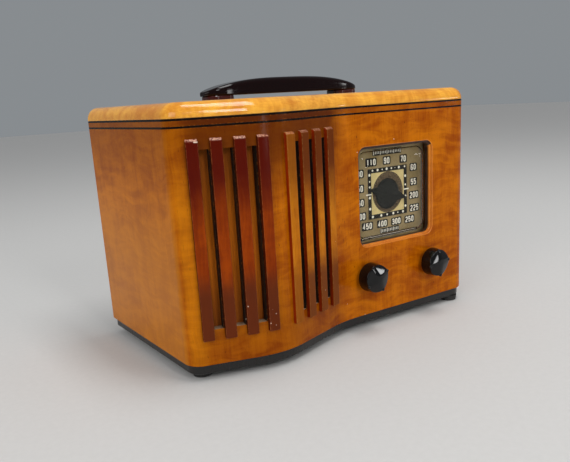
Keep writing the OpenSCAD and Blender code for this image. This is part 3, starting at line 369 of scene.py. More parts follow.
def make_chips():
    """Mask of sparse small chips and of fine scratches, thick round Centre within Reach."""
    tree, given, out = group(
        "chips",
        {"Place": Vector(), "Centre": Vector(), "Reach": 20.0, "Amount": 0.5, "Everywhere": 0.1},
        {"Mask": 0.0},
    )
    place = given["Place"]
    away = vector_calc(tree, "DISTANCE", place, given["Centre"])
    near = minus(tree, 1.0, calc(tree, "DIVIDE", away, given["Reach"]), clamp=True)
    share = scaled(tree, near, given["Amount"], given["Everywhere"])
    cell = node(tree, "TexVoronoi", {"Vector": place, "Scale": 0.28, "Randomness": 1.0})
    chosen = node(tree, "SeparateColor", {0: cell.outputs["Color"]}).outputs
    size = scaled(tree, chosen[1], 0.09, 0.02)
    ragged = scaled(tree, noise(tree, place, 2.5, 2.0), 0.12, cell.outputs["Distance"])
    dot = calc(tree, "LESS_THAN", ragged, calc(tree, "ADD", size, 0.06))
    dots = times(tree, dot, calc(tree, "LESS_THAN", chosen[0], share))
    slanted = node(tree, "VectorRotate", {"Vector": place, "Axis": (0, 1, 0), "Angle": 0.35}).outputs[0]
    line = noise(tree, stretched(tree, slanted, (1.3, 1.3, 0.07)), 1.0, 1.0, 0.4)
    hair = calc(tree, "LESS_THAN", calc(tree, "ABSOLUTE", minus(tree, line, 0.62)), 0.006)
    gate = calc(tree, "LESS_THAN", noise(tree, place, 0.12, 2.0), times(tree, share, 0.75))
    fill(tree, out["Mask"], calc(tree, "MAXIMUM", dots, times(tree, hair, gate)))
    return tree


def make_polish():
    """Slow change of gloss over a polished surface, with faint wipe marks."""
    tree, given, out = group(
        "polish", {"Place": Vector(), "Least": 0.1, "Most": 0.3}, {"Roughness": 0.2, "Height": 0.0}
    )
    slow = noise(tree, given["Place"], 0.03, 4.0, 0.6)
    wipes = noise(tree, stretched(tree, given["Place"], (0.5, 0.5, 0.06)), 1.0, 3.0)
    both = scaled(tree, wipes, 0.4, times(tree, slow, 0.6))
    fill(tree, out["Roughness"], between(tree, both, 0.3, 0.7, given["Least"], given["Most"]))
    fill(tree, out["Height"], noise(tree, given["Place"], 0.09, 2.0))
    return tree


def make_mark():
    """Mask of one scratch or chipped edge from Start to End, ragged along its sides."""
    tree, given, out = group(
        "mark", {"Place": Vector(), "Start": Vector(), "End": Vector(), "Width": 0.3}, {"Mask": 0.0}
    )
    run = vector_calc(tree, "SUBTRACT", given["End"], given["Start"])
    away = vector_calc(tree, "SUBTRACT", given["Place"], given["Start"])
    along = vector_calc(tree, "DOT_PRODUCT", away, run)
    whole = vector_calc(tree, "DOT_PRODUCT", run, run)
    share = calc(tree, "DIVIDE", along, whole, clamp=True)
    nearest = vector_calc(tree, "SCALE", run, share)
    off = vector_calc(tree, "DISTANCE", away, nearest)
    ragged = times(tree, noise(tree, given["Place"], 1.7, 3.0, 0.7), given["Width"])
    fill(tree, out["Mask"], calc(tree, "LESS_THAN", off, ragged))
    return tree


VENEER = make_veneer()
EDGES = make_edges()
CHIPS = make_chips()
POLISH = make_polish()
MARK = make_mark()


# Materials


def material(name, **shader_values):
    """New material with its Principled shader; returns the material, its tree and the shader's inputs."""
    made = bpy.data.materials.new(name)
    made.use_nodes = True
    tree = made.node_tree
    shader = tree.nodes["Principled BSDF"]
    for key, value in shader_values.items():
        fill(tree, shader.inputs[key.replace("_", " ")], value)
    return made, tree, shader.inputs


def surface(tree, shader, colour, roughness, height, depth):
    """Fills in colour and roughness, and height from 0 to 1 as relief of depth millimetres."""
    relief = node(tree, "Bump", {"Height": height, "Distance": depth * MM, "Strength": 1.0}).outputs[0]
    for key, value in (("Base Color", colour), ("Roughness", roughness), ("Normal", relief)):
        fill(tree, shader[key], value)


CHIP_PALE = (0.78, 0.62, 0.48)


def lacquered_wood(name, pale, deep, pore, grain="Z", curl=0.5, clouds=0.5, fibres=0.5, pores=0.6, least=0.12,
                   most=0.26, shade=None, wear=0.3, worn=None, chips=None, marks=(), gloss=0.2):
    """Polished lacquer over veneer. shade changes the colour by place; chips holds the centre, reach and
    amount of a chipped spot, and the share of chips everywhere."""
    made, tree, shader = material(name, IOR=1.27, Specular_IOR_Level=gloss)
    place = place_of(tree)
    along = place
    if grain == "X":
        turn = {"Vector": place, "Axis": (0, 1, 0), "Angle": math.pi / 2}
        along = node(tree, "VectorRotate", turn).outputs[0]
    wood = use(tree, VENEER, {"Place": along, "Pale": pale, "Deep": deep, "Pore": pore, "Curl": curl,
                              "Clouds": clouds, "Fibres": fibres, "Pores": pores})
    colour = wood["Color"]
    if shade:
        colour = shade(tree, place, colour)
    edge = use(tree, EDGES, {"Place": place, "Width": 0.7, "Wear": wear})["Mask"]
    colour = blended(tree, times(tree, edge, 0.6), colour, worn or pale)
    if chips:
        centre, reach, amount, everywhere = chips
        values = {"Place": place, "Centre": at(*centre) / MM, "Reach": reach, "Amount": amount,
                  "Everywhere": everywhere}
        colour = blended(tree, use(tree, CHIPS, values)["Mask"], colour, CHIP_PALE)
    for start, end, width in marks:
        values = {"Place": place, "Start": at(*start) / MM, "End": at(*end) / MM, "Width": width}
        colour = blended(tree, use(tree, MARK, values)["Mask"], colour, CHIP_PALE)
    polish = use(tree, POLISH, {"Place": place, "Least": least, "Most": most})
    relief = scaled(tree, wood["Height"], 0.12, polish["Height"])
    surface(tree, shader, colour, polish["Roughness"], relief, 0.05)
    return made


# Painted shade near the slats, over the upper front and between the strings
SLATS_SHADOW, TOP_SHADOW, BAND_SHADOW = (0.085, 0.015, 0.001), (0.12, 0.022, 0.0006), (0.07, 0.012, 0.002)
# Painted highlight on the upright corner and painted light on the left side
CORNER_HIGHLIGHT, SIDE_PAINTED_LIGHT = (0.62, 0.24, 0.004), (0.58, 0.218, 0.014)
# Dark paint and painted shade in the strips between slats and slots
STRIP_BLACK_SHADE = (0.012, 0.005, 0.003)
# Pale chips and painted highlight on the slats' upper ends
END_CHIPS_AND_GLINT = (0.56, 0.27, 0.17)
# Painted shade on the cloth near the slots' top and bottom
CLOTH_END_SHADE = (0.20, 0.05, 0.012)


def cabinet_shade(tree, place, colour):
    """Painted shade near the slats towards their ends, over the upper front towards the left and between the
    strings; a painted highlight low on the upright corner and painted light on the left side.
    """
    x = in_cabinet(tree, place, 0)
    z = in_cabinet(tree, place, 2)
    slats = times(tree, between(tree, x, 1.5, 17), between(tree, x, 140, 116))
    top = between(tree, z, 95, 148)
    low = between(tree, z, 78, 14)
    dark = times(tree, slats, scaled(tree, top, 0.80, times(tree, low, 0.38)))
    colour = blended(tree, dark, colour, SLATS_SHADOW)
    upper = times(tree, between(tree, x, 150, 20, 0, 0.46), top)
    colour = blended(tree, upper, colour, TOP_SHADOW)
    band = times(tree, between(tree, z, 150.5, 152.5), scaled(tree, slats, 0.3, 0.3))
    colour = blended(tree, band, colour, BAND_SHADOW)
    # Painted highlight low on the upright corner
    corner = times(tree, between(tree, x, 0.5, 3), between(tree, x, 15, 7))
    corner = times(tree, corner, between(tree, z, 140, 95, 0, 0.25))
    colour = blended(tree, corner, colour, CORNER_HIGHLIGHT)
    # Painted light on the left side, strongest low down
    side = times(tree, between(tree, x, 1.5, 0.2), between(tree, z, 135, 60, 0.1, 0.5))
    return blended(tree, side, colour, SIDE_PAINTED_LIGHT)


def slot_strips(tree, place, colour):
    """Near-black strips between the slats and their slots: dark paint, deepened as painted shade in these
    recesses.
    """
    x = in_cabinet(tree, place, 0)
    z = in_cabinet(tree, place, 2)
    strips = 0.0
    for side in ("left", "right"):
        first, last = facet_x(side, SLAT_START + SLAT_W), facet_x(side, LAST_SLAT)
        inside_x = times(tree, calc(tree, "GREATER_THAN", x, first), calc(tree, "LESS_THAN", x, last))
        strips = calc(tree, "ADD", strips, inside_x)
    above = calc(tree, "GREATER_THAN", z, SLAT_Z + SLOT_MARGIN)
    inside_z = times(tree, above, calc(tree, "LESS_THAN", z, SLAT_TOP - SLOT_MARGIN))
    return blended(tree, times(tree, strips, inside_z), colour, STRIP_BLACK_SHADE)


def cabinet_finish(tree, place, colour):
    """The wrap's painted shade and light, and the black strips between slats and slots."""
    return slot_strips(tree, place, cabinet_shade(tree, place, colour))


def slat_shade(top, low, chips_and_glint_most, pale_below=0.0):
    """Shade of the slats: top and low colours towards the two ends, partly the lacquer's toning and partly
    painted shade and reflection; weaker on slats left of pale_below; pale chips with a painted highlight on the
    sloping upper ends."""

    def shade(tree, place, bare):
        z = in_cabinet(tree, place, 2)
        drift = scaled(tree, noise(tree, place, 0.06, 3.0, 0.6), 16, minus(tree, z, 8))
        # Darker towards both ends: the lacquer's toning and painted shade and reflection
        colour = blended(tree, between(tree, drift, 84, 124, 0, 0.95), bare, top)
        colour = blended(tree, between(tree, drift, 66, 44, 0, 0.9), colour, low)
        pale = times(tree, calc(tree, "LESS_THAN", in_cabinet(tree, place, 0), pale_below), 0.3)
        colour = blended(tree, pale, colour, bare)
        # Pale chips and a painted highlight on the upper ends
        end = calc(tree, "GREATER_THAN", z, SLAT_TOP - SLAT_SLOPE + 0.25)
        chipped = between(tree, noise(tree, place, 0.9, 3.0, 0.6), 0.40, 0.60, 0.08, chips_and_glint_most)
        return blended(tree, times(tree, end, chipped), colour, END_CHIPS_AND_GLINT)

    return shade


def gloss_plastic(name, colour, least, most, wear=0.25, worn=(0.2, 0.19, 0.17), gloss=0.4):
    """Moulded plastic or enamel, slightly mottled, worn at its edges."""
    made, tree, shader = material(name, IOR=1.5, Specular_IOR_Level=gloss)
    place = place_of(tree)
    polish = use(tree, POLISH, {"Place": place, "Least": least, "Most": most})
    base = blended(tree, noise(tree, place, 0.35, 4.0, 0.6), tuple(c * 0.7 for c in colour), colour)
    edge = use(tree, EDGES, {"Place": place, "Width": 0.3, "Wear": wear, "Grain": 1.2})["Mask"]
    base = blended(tree, times(tree, edge, 0.35), base, worn)
    surface(tree, shader, base, polish["Roughness"], polish["Height"], 0.03)
    return made


def plain_finish(name, colour, other, scale, roughness, metallic=0.0, relief=0.02, worn=None,
                 directions=(1, 1, 1), gloss=0.5):
    """Two close colours in noise, uneven gloss and a little relief, for metal, card, rubber and board."""
    made, tree, shader = material(name, Metallic=metallic, Specular_IOR_Level=gloss)
    place = place_of(tree)
    grain = noise(tree, stretched(tree, place, directions), scale, 4.0, 0.62)
    base = blended(tree, between(tree, grain, 0.3, 0.7), colour, other)
    if worn:
        edge = use(tree, EDGES, {"Place": place, "Width": 0.5, "Wear": 0.4, "Grain": 0.8})["Mask"]
        base = blended(tree, edge, base, worn)
    uneven = between(tree, noise(tree, place, 0.11, 3.0), 0.3, 0.7, roughness - 0.08, roughness + 0.1)
    surface(tree, shader, base, uneven, grain, relief)
    return made


def clear_pane(name, colour, roughness, ior):
    """Clear plastic or glass that lets the lamps' light through."""
    made, tree, shader = material(name, Transmission_Weight=1.0, IOR=ior)
    place = place_of(tree)
    smear = noise(tree, place, 0.06, 3.0, 0.6)
    tint = blended(tree, smear, tuple(c * 0.94 for c in colour), colour)
    uneven = between(tree, smear, 0.3, 0.75, roughness, roughness + 0.05)
    surface(tree, shader, tint, uneven, noise(tree, place, 0.05, 2.0), 0.02)
    path = node(tree, "LightPath").outputs
    mirrored = minus(tree, path["Is Glossy Ray"], path["Is Transmission Ray"], clamp=True)
    lit = calc(tree, "MAXIMUM", path["Is Diffuse Ray"], mirrored)
    lit = calc(tree, "MAXIMUM", path["Is Shadow Ray"], lit)
    through = node(tree, "BsdfTransparent", {"Color": tuple(c * 0.99 for c in colour)}).outputs[0]
    output = tree.nodes["Material Output"].inputs["Surface"]
    solid = tree.nodes["Principled BSDF"].outputs[0]
    fill(tree, output, node(tree, "MixShader", {0: lit, 1: solid, 2: through}).outputs[0])
    return made


def woven_cloth(name, colour, other, pitch=0.55):
    """Coarse cloth: threads across and upright, uneven upright ribs, and painted shade near its top and bottom.
    """
    made, tree, shader = material(name, Specular_IOR_Level=0.1)
    place = place_of(tree)
    axes = node(tree, "SeparateXYZ", {0: place}).outputs
    turn = 2 * math.pi / pitch
    upright = calc(tree, "SINE", times(tree, axes[0], turn))
    across = calc(tree, "SINE", times(tree, axes[2], turn))
    weave = scaled(tree, times(tree, upright, across), 0.5, 0.5)
    ribs = noise(tree, stretched(tree, place, (0.8, 0.8, 0.02)), 1.0, 3.0, 0.6)
    tone = scaled(tree, ribs, 0.7, times(tree, weave, 0.3))
    base = blended(tree, between(tree, tone, 0.25, 0.75), other, colour)
    z = in_cabinet(tree, place, 2)
    # Painted shade towards the slots' top and bottom
    shaded_ends = calc(tree, "MAXIMUM", between(tree, z, 92, 138, 0, 0.62), between(tree, z, 66, 26, 0, 0.62))
    base = blended(tree, shaded_ends, base, CLOTH_END_SHADE)
    surface(tree, shader, base, 0.95, calc(tree, "ADD", weave, ribs), 0.18)
    return made


# Finishes

# Scratches and chipped edges: start, end, width
CABINET_MARKS = [((2, -3.4, 151), (2.6, -4, 149.4), 0.8), ((70, -21, 146), (74, -20, 146.3), 0.5),
                 ((183.4, 0, 131.2), (183.9, 0, 131.1), 0.6), ((58, -23, 40), (59, -23, 26), 0.5),
                 ((57, -22, 22), (59.5, -23, 17), 0.6), ((61, -23, 15), (62, -23, 13), 0.6)]
CABINET = lacquered_wood("cabinet_veneer", (0.57, 0.158, 0.0015), (0.295, 0.052, 0.0004), (0.05, 0.009, 0.001),
                         shade=cabinet_finish, curl=1.0, clouds=0.95, fibres=0.5, pores=1.0,
                         marks=CABINET_MARKS, chips=((52, -18, 24), 30, 0.45, 0.010))
TOP = lacquered_wood("top_veneer", (0.90, 0.44, 0.050), (0.60, 0.205, 0.016), (0.22, 0.060, 0.008), grain="X",
                     curl=0.8, clouds=0.9, fibres=0.6, pores=0.5, gloss=0.9, least=0.05, most=0.13)
SLAT_MARKS = [((12.9, -10.2, 142.8), (18.6, -12.1, 142.8), 0.9), ((15.2, -11, 142.8), (15.3, -11, 139.6), 0.9),
              ((27.6, -15, 131.2), (33.4, -16.8, 132.0), 0.45), ((55, -25, 33), (55.4, -25, 24), 0.7),
              ((40.5, -20, 41), (42, -20.4, 40), 1.0), ((47, -22, 36), (47.4, -22, 30), 0.6)]
SLAT_FIGURE = {"curl": 0.35, "clouds": 0.8, "fibres": 0.7, "pores": 0.4, "wear": 0.62}
SECOND_BAR_X = facet_x("right", SLAT_START + (SLAT_W + SLAT_PITCH) / 2)
# Bright orange worn edges: real wear and a painted highlight along the bars' edges
SLATS_LEFT = lacquered_wood("slat_lacquer", (0.32, 0.048, 0.0006), (0.17, 0.018, 0.0004), (0.05, 0.005, 0.001),
                            worn=(0.60, 0.22, 0.07), gloss=0.2, chips=((55, -20, 35), 28, 0.6, 0.02),
                            shade=slat_shade((0.078, 0.003, 0.0006), (0.095, 0.019, 0.005), 0.95),
                            marks=SLAT_MARKS, **SLAT_FIGURE)
# Right bars: a lighter copy of the slat lacquer as painted light, with bright worn edges that are partly a
# painted highlight
SLATS_RIGHT_LIT = lacquered_wood("slat_lacquer_right_lit", (0.60, 0.200, 0.008), (0.36, 0.092, 0.004),
                             (0.06, 0.012, 0.002), worn=(0.66, 0.32, 0.10), gloss=0.1,
                             chips=((88, -14, 28), 22, 0.4, 0.02),
                             shade=slat_shade((0.115, 0.022, 0.004), (0.13, 0.030, 0.007), 0.45, SECOND_BAR_X),
                             **SLAT_FIGURE)


def slat_side(side, red):
    """Lacquer of the bars' own sides, redder than their faces; red makes a darker copy as painted shade and a
    brighter copy as painted light.
    """
    return lacquered_wood("slat_side_" + side, (red, red * 0.09, 0.002), (red / 2, red * 0.04, 0.001),
                          (0.02, 0.002, 0.001), curl=0.3, clouds=0.8, fibres=0.8, pores=0.4, wear=0.55,
                          worn=(0.55, 0.18, 0.05), gloss=0.15)


# Left bars' sides darker as painted shade, right bars' sides brighter as painted light
SHADED_SIDE_LEFT, LIT_SIDE_RIGHT = slat_side("left", 0.085), slat_side("right", 0.30)
STRING = plain_finish("black_inlay", (0.003, 0.002, 0.0015), (0.008, 0.004, 0.002), 0.4, 0.25, gloss=0.1)
# Slot walls black: dark paint and painted shade. Dial opening: dark paint and painted shade. Lip: brighter and
# glossier as painted highlight
SLOT_BLACK_SHADE = plain_finish("slot_black_shade", (0.005, 0.003, 0.002), (0.010, 0.006, 0.004), 0.4, 0.6)
OPENING_PAINT_AND_SHADE = plain_finish("opening_paint_and_shade", (0.050, 0.014, 0.003), (0.022, 0.006, 0.002), 0.2, 0.5)
LIP_HIGHLIGHT = lacquered_wood("lip_highlight", (0.74, 0.25, 0.028), (0.46, 0.11, 0.006), (0.10, 0.02, 0.002),
                             gloss=1.0, most=0.2)
RAW_EDGE = plain_finish("raw_edge", (0.52, 0.36, 0.22), (0.30, 0.17, 0.09), 0.5, 0.8)
CLOTH = woven_cloth("grille_cloth", (0.95, 0.25, 0.016), (0.46, 0.105, 0.006))
BASE_BLACK = gloss_plastic("base_lacquer", (0.012, 0.011, 0.010), 0.22, 0.4, wear=0.6, worn=(0.22, 0.21, 0.19))
RUBBER = plain_finish("foot_rubber", (0.012, 0.011, 0.010), (0.026, 0.024, 0.022), 0.5, 0.75)
HANDLE = gloss_plastic("handle_plastic", (0.006, 0.0006, 0.0006), 0.05, 0.14, wear=0.3, worn=(0.10, 0.03, 0.02),
                       gloss=0.2)
PAD = gloss_plastic("pad_plastic", (0.050, 0.005, 0.003), 0.1, 0.22)
KNOB = gloss_plastic("knob_plastic", (0.003, 0.003, 0.003), 0.03, 0.09, wear=0.3, gloss=0.3)
LENS = clear_pane("lens_plastic", (0.98, 0.975, 0.95), 0.01, 1.22)
BRONZE = plain_finish("dial_bronze", (0.40, 0.305, 0.155), (0.25, 0.182, 0.072), 0.05, 0.42, 0.1, relief=0.01,
                      gloss=0.2)
INK = plain_finish("dial_black", (0.004, 0.0035, 0.003), (0.008, 0.007, 0.006), 0.5, 0.6, gloss=0.1)
CREAM = plain_finish("dial_cream", (0.97, 0.95, 0.86), (0.90, 0.87, 0.76), 0.6, 0.6, gloss=0.2)
YELLOW = plain_finish("dial_yellow", (0.80, 0.66, 0.31), (0.66, 0.53, 0.23), 0.12, 0.5, gloss=0.2)
STIPPLE = plain_finish("dial_stipple", (0.012, 0.007, 0.004), (0.22, 0.15, 0.080), 1.0, 0.7, relief=0.15,
                       gloss=0.1)
POINTER = gloss_plastic("pointer_enamel", (0.007, 0.008, 0.0055), 0.26, 0.36, wear=0.0, gloss=0.1)
STEEL = plain_finish("screw_steel", (0.42, 0.40, 0.35), (0.24, 0.22, 0.18), 0.6, 0.42, 0.85,
                     worn=(0.6, 0.58, 0.52))
CHASSIS = plain_finish("chassis_steel", (0.40, 0.39, 0.36), (0.30, 0.28, 0.25), 0.06, 0.5, 0.7)
ALUMINIUM = plain_finish("can_aluminium", (0.66, 0.66, 0.63), (0.54, 0.54, 0.52), 0.2, 0.36, 0.9,
                         directions=(1, 1, 0.1))
BRASS = plain_finish("brass_part", (0.52, 0.38, 0.16), (0.38, 0.26, 0.10), 0.3, 0.4, 0.85)
SHAFT = plain_finish("shaft_steel", (0.55, 0.55, 0.52), (0.45, 0.45, 0.43), 0.8, 0.3, 0.9,
                     directions=(1, 0.05, 1))
BARE_WOOD = lacquered_wood("inner_wood", (0.48, 0.32, 0.16), (0.33, 0.20, 0.09), (0.16, 0.09, 0.04), least=0.6,
                           most=0.8)
FIBRE = plain_finish("back_fibre", (0.115, 0.066, 0.036), (0.070, 0.040, 0.022), 0.5, 0.72, relief=0.12,
                     worn=(0.20, 0.13, 0.08))
CARD = plain_finish("grey_card", (0.22, 0.155, 0.095), (0.15, 0.10, 0.06), 0.4, 0.8, relief=0.05)
PAPER = plain_finish("cone_paper", (0.085, 0.062, 0.043), (0.050, 0.036, 0.025), 0.8, 0.85, relief=0.1)
WAXED = plain_finish("waxed_paper", (0.50, 0.35, 0.15), (0.36, 0.23, 0.09), 0.15, 0.45)
COPPER = plain_finish("coil_copper", (0.45, 0.16, 0.06), (0.28, 0.09, 0.03), 0.2, 0.4, 0.6,
                      directions=(1, 6, 1))
IRON = plain_finish("varnished_iron", (0.11, 0.10, 0.09), (0.06, 0.05, 0.045), 0.3, 0.45, 0.5)
BASKET = plain_finish("basket_enamel", (0.040, 0.046, 0.042), (0.026, 0.030, 0.027), 0.2, 0.4)
PHENOLIC = gloss_plastic("phenolic", (0.040, 0.020, 0.012), 0.2, 0.35)
LINEN = woven_cloth("linen_cord", (0.55, 0.42, 0.22), (0.34, 0.24, 0.12), 0.4)
GLASS = clear_pane("tube_glass", (0.80, 0.82, 0.78), 0.03, 1.5)

# The finish of each slot in the record
SLOT_FINISH = {
    "cabinet_veneer": CABINET, "top_veneer": TOP, "black_string": STRING, "slat_wood": SLATS_LEFT,
    "grille_cloth": CLOTH, "inner_wood": BARE_WOOD, "black_base": BASE_BLACK, "foot_rubber": RUBBER,
    "handle_plastic": HANDLE, "knob_plastic": KNOB, "lens_plastic": LENS, "dial_bronze": BRONZE,
    "pointer_enamel": POINTER, "screw_steel": STEEL, "chassis_steel": CHASSIS, "gang_steel": CHASSIS,
    "vane_aluminium": ALUMINIUM, "shaft_steel": SHAFT, "drum_alloy": IRON, "drive_cord": LINEN,
    "brass_part": BRASS, "control_case": CHASSIS, "socket_board": PHENOLIC, "tube_base_plastic": PHENOLIC,
    "tube_glass": GLASS, "lamp_glass": GLASS, "can_aluminium": ALUMINIUM, "capacitor_card": WAXED,
    "core_iron": IRON, "coil_paper": WAXED, "grommet_rubber": RUBBER, "back_fibre": FIBRE,
    "basket_paint": BASKET, "gasket_card": CARD, "spider_fibre": LINEN, "cone_paper": PAPER,
    "coil_copper": COPPER, "yoke_iron": IRON,
}


def dress_cad_nodes():
    """Gives each CAD node the finish of its slot in the record."""
    slots = {part["node"]: part["material_slot"] for part in frame["record"]["subparts"]}
    for name, obj in frame["nodes"].items():
        obj.data.materials.clear()
        obj.data.materials.append(SLOT_FINISH[slots[name]])


dress_cad_nodes()


# Meshes


def piece(name, shape, finish, replaces=(), body="cabinet", sharp=32, weighted=True):
    """Mesh piece from (points in cabinet millimetres, faces), smooth but for its sharp edges."""
    points, faces = shape
    mesh = bpy.data.meshes.new(name)
    mesh.from_pydata([at(*p) for p in points], [], faces)
    mesh.validate()
    mesh.materials.append(finish)
    mesh.shade_smooth()
    obj = bpy.data.objects.new(name, mesh)
    add_to_scene(obj)
    mend_mesh(mesh)
    mesh.set_sharp_from_angle(angle=math.radians(sharp))
    if weighted:
        even = obj.modifiers.new("even_normals", "WEIGHTED_NORMAL")
        even.keep_sharp = True
    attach(obj, body)
    if replaces:
        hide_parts(*replaces)
    return obj


# Points this near to each other, in millimetres, are one
SAME_PLACE = 0.002


def mend_mesh(mesh):
    """Joins points that meet and turns all faces outwards."""
    work = bmesh.new()
    work.from_mesh(mesh)
    bmesh.ops.remove_doubles(work, verts=work.verts, dist=SAME_PLACE * MM)
    bmesh.ops.recalc_face_normals(work, faces=work.faces)
    work.to_mesh(mesh)
    work.free()


def joined_rings(rings, first_cap=True, last_cap=True, closed=True):
    """Points and faces between rings of equal length."""
    count = len(rings[0])
    points = [p for ring in rings for p in ring]
    faces = []
    for k in range(len(rings) - 1):
        for i in range(count if closed else count - 1):
            a, b = k * count + i, k * count + (i + 1) % count
            faces.append((a, b, b + count, a + count))
    if first_cap:
        faces.append(tuple(range(count - 1, -1, -1)))
    if last_cap:
        faces.append(tuple(range((len(rings) - 1) * count, len(rings) * count)))
    return points, faces


def together(*parts):
    """Several point and face lists as one."""
    points, faces = [], []
    for some_points, some_faces in parts:
        start = len(points)
        points += some_points
        faces += [tuple(i + start for i in face) for face in some_faces]
    return points, faces


def around(x, z, radius, y, steps):
    """Ring of points at one depth round the line through (x, z) that runs front to back."""
    turns = [2 * math.pi * k / steps for k in range(steps)]
    return [(x + radius * math.cos(t), y, z + radius * math.sin(t)) for t in turns]


def arc(x, z, radius, first, last, steps=6):
    """Points of an arc round (x, z); angles in degrees from +x, counter-clockwise."""
    turns = [math.radians(first + (last - first) * k / steps) for k in range(steps + 1)]
    return [(x + radius * math.cos(t), z + radius * math.sin(t)) for t in turns]


def rounded_rect(width, height, radius, steps=8, cuts=()):
    """Ring of (x, z) round the origin. cuts are places in x where its upper and lower edges get a point."""
    ring = []
    for corner, (sx, sz) in enumerate(((1, 1), (-1, 1), (-1, -1), (1, -1))):
        centre = sx * (width / 2 - radius), sz * (height / 2 - radius)
        ring += arc(*centre, radius, 90 * corner, 90 * corner + 90, steps)
        if corner == 0:
            ring += [(c, height / 2) for c in sorted(cuts, reverse=True)]
        if corner == 2:
            ring += [(c, -height / 2) for c in sorted(cuts)]
    return ring


# A hole of the wrap: the middle's place along the outer face and height, the outline's width, height and
# corner radius, extra points on its upper and lower edges, and its rim as rows of offset and depth
Hole = namedtuple("Hole", "s z width height radius cuts rim")


def wrap_holes():
    """Sound slots, dial opening and shaft holes."""
    holes = []
    slot_h = SLAT_TOP - SLAT_Z - 2 * SLOT_MARGIN
    slot_rim = [(0.25, 0), (0.07, 0.08), (0, 0.25), (0, WALL)]
    for side in ("left", "right"):
        for s0, s1 in facet_slots(side):
            middle = (s0 + s1) / 2
            cuts = [s - middle for s in STATIONS if s0 + 0.7 < s < s1 - 0.7]
            holes.append(Hole(middle, (SLAT_Z + SLAT_TOP) / 2, s1 - s0, slot_h, 0.3, cuts, slot_rim))
    lip_rounding = [(0.7, 0), (0.4, 0.1), (0.16, 0.3), (0.02, 0.62), (0, 1.2), (-0.12, 1.5), (-0.4, 1.6)]
    step_rounding = [(-1.1, 1.62), (-1.35, 1.7), (-1.55, 1.9), (-LIP, 2.2), (-LIP, 3.0), (-LIP, WALL)]
    dial_rim = lip_rounding + step_rounding
    holes.append(Hole(along_front(DIAL_X), DIAL_Z, DIAL_W, DIAL_H, DIAL_R + LIP, [], dial_rim))
    size = 2 * SHAFT_R + 4
    shaft_rim = [(0.3, 0), (0.09, 0.09), (0, 0.3), (0, WALL)]
    for x in (DIAL_X - KNOB_X, DIAL_X + KNOB_X):
        holes.append(Hole(along_front(x), KNOB_Z, size, size, size / 2 - 0.01, [], shaft_rim))
    return holes


def hole_ring(hole, offset):
    width, height = hole.width + 2 * offset, hole.height + 2 * offset
    return moved(rounded_rect(width, height, hole.radius + offset, 6, hole.cuts), hole.s, hole.z)


def moved(ring, x, z):
    return [(a + x, b + z) for a, b in ring]


def inside(ring, p):
    """Whether p lies in the ring, by counting crossings."""
    odd = False
    for (x0, z0), (x1, z1) in zip(ring, ring[1:] + ring[:1]):
        if (z0 > p[1]) != (z1 > p[1]) and p[0] < (x1 - x0) * (p[1] - z0) / (z1 - z0) + x0:
            odd = not odd
    return odd


def pierced_band(low, high, depth, holes, row):
    """Band of the wrap with its holes cut out flat along one row of their rims, then bent to a depth."""
    flat, edges = [], []
    for s in STATIONS:
        flat += [Vector((s, low)), Vector((s, high))]
        edges.append((len(flat) - 2, len(flat) - 1))
    for k in range(len(STATIONS) - 1):
        edges += [(2 * k, 2 * k + 2), (2 * k + 1, 2 * k + 3)]
    rings = [hole_ring(hole, hole.rim[row][0]) for hole in holes]
    for ring in rings:
        start = len(flat)
        flat += [Vector(p) for p in ring]
        edges += [(start + i, start + (i + 1) % len(ring)) for i in range(len(ring))]
    points, _, triangles, _, _, _ = delaunay_2d_cdt(flat, edges, [], 0, 1e-4)
    kept = []
    for triangle in triangles:
        middle = sum((points[i] for i in triangle), Vector((0, 0))) / 3
        if not any(inside(ring, middle) for ring in rings):
            kept.append(tuple(triangle))
    return [(*bend(p.x, depth), p.y) for p in points], kept


def cabinet_wrap():
    """Front and sides as one bent panel with its holes, an eased foot and two grooves for the strings."""
    holes = wrap_holes()
    foot = 0.7
    first, last = STRING_ZS
    low_rows = [(0, WALL), (0, foot), (0.086, 0.34), (0.34, 0.086), (foot, 0)]
    high_rows = [(first, 0), (first, STRING_D), (first + STRING_H, STRING_D), (first + STRING_H, 0),
                 (last, 0), (last, STRING_D), (HEIGHT, STRING_D), (HEIGHT, WALL)]
    parts = [pierced_band(foot, first, 0, holes, 0), pierced_band(0, HEIGHT, WALL, holes, -1)]
    for rows in (low_rows, high_rows):
        rings = [[(*bend(s, d), z) for s in STATIONS] for z, d in rows]
        parts.append(joined_rings(rings, False, False, closed=False))
    for hole in holes:
        rings = [[(*bend(s, depth), z) for s, z in hole_ring(hole, offset)] for offset, depth in hole.rim]
        parts.append(joined_rings(rings, False, False))
    for s in (0, LENGTH):
        end = [(*bend(s, d), z) for z, d in low_rows + high_rows]
        parts.append((end, [tuple(range(len(end)))]))
    return piece("cabinet_wrap_veneered", together(*parts), CABINET, ["cabinet_wrap"])


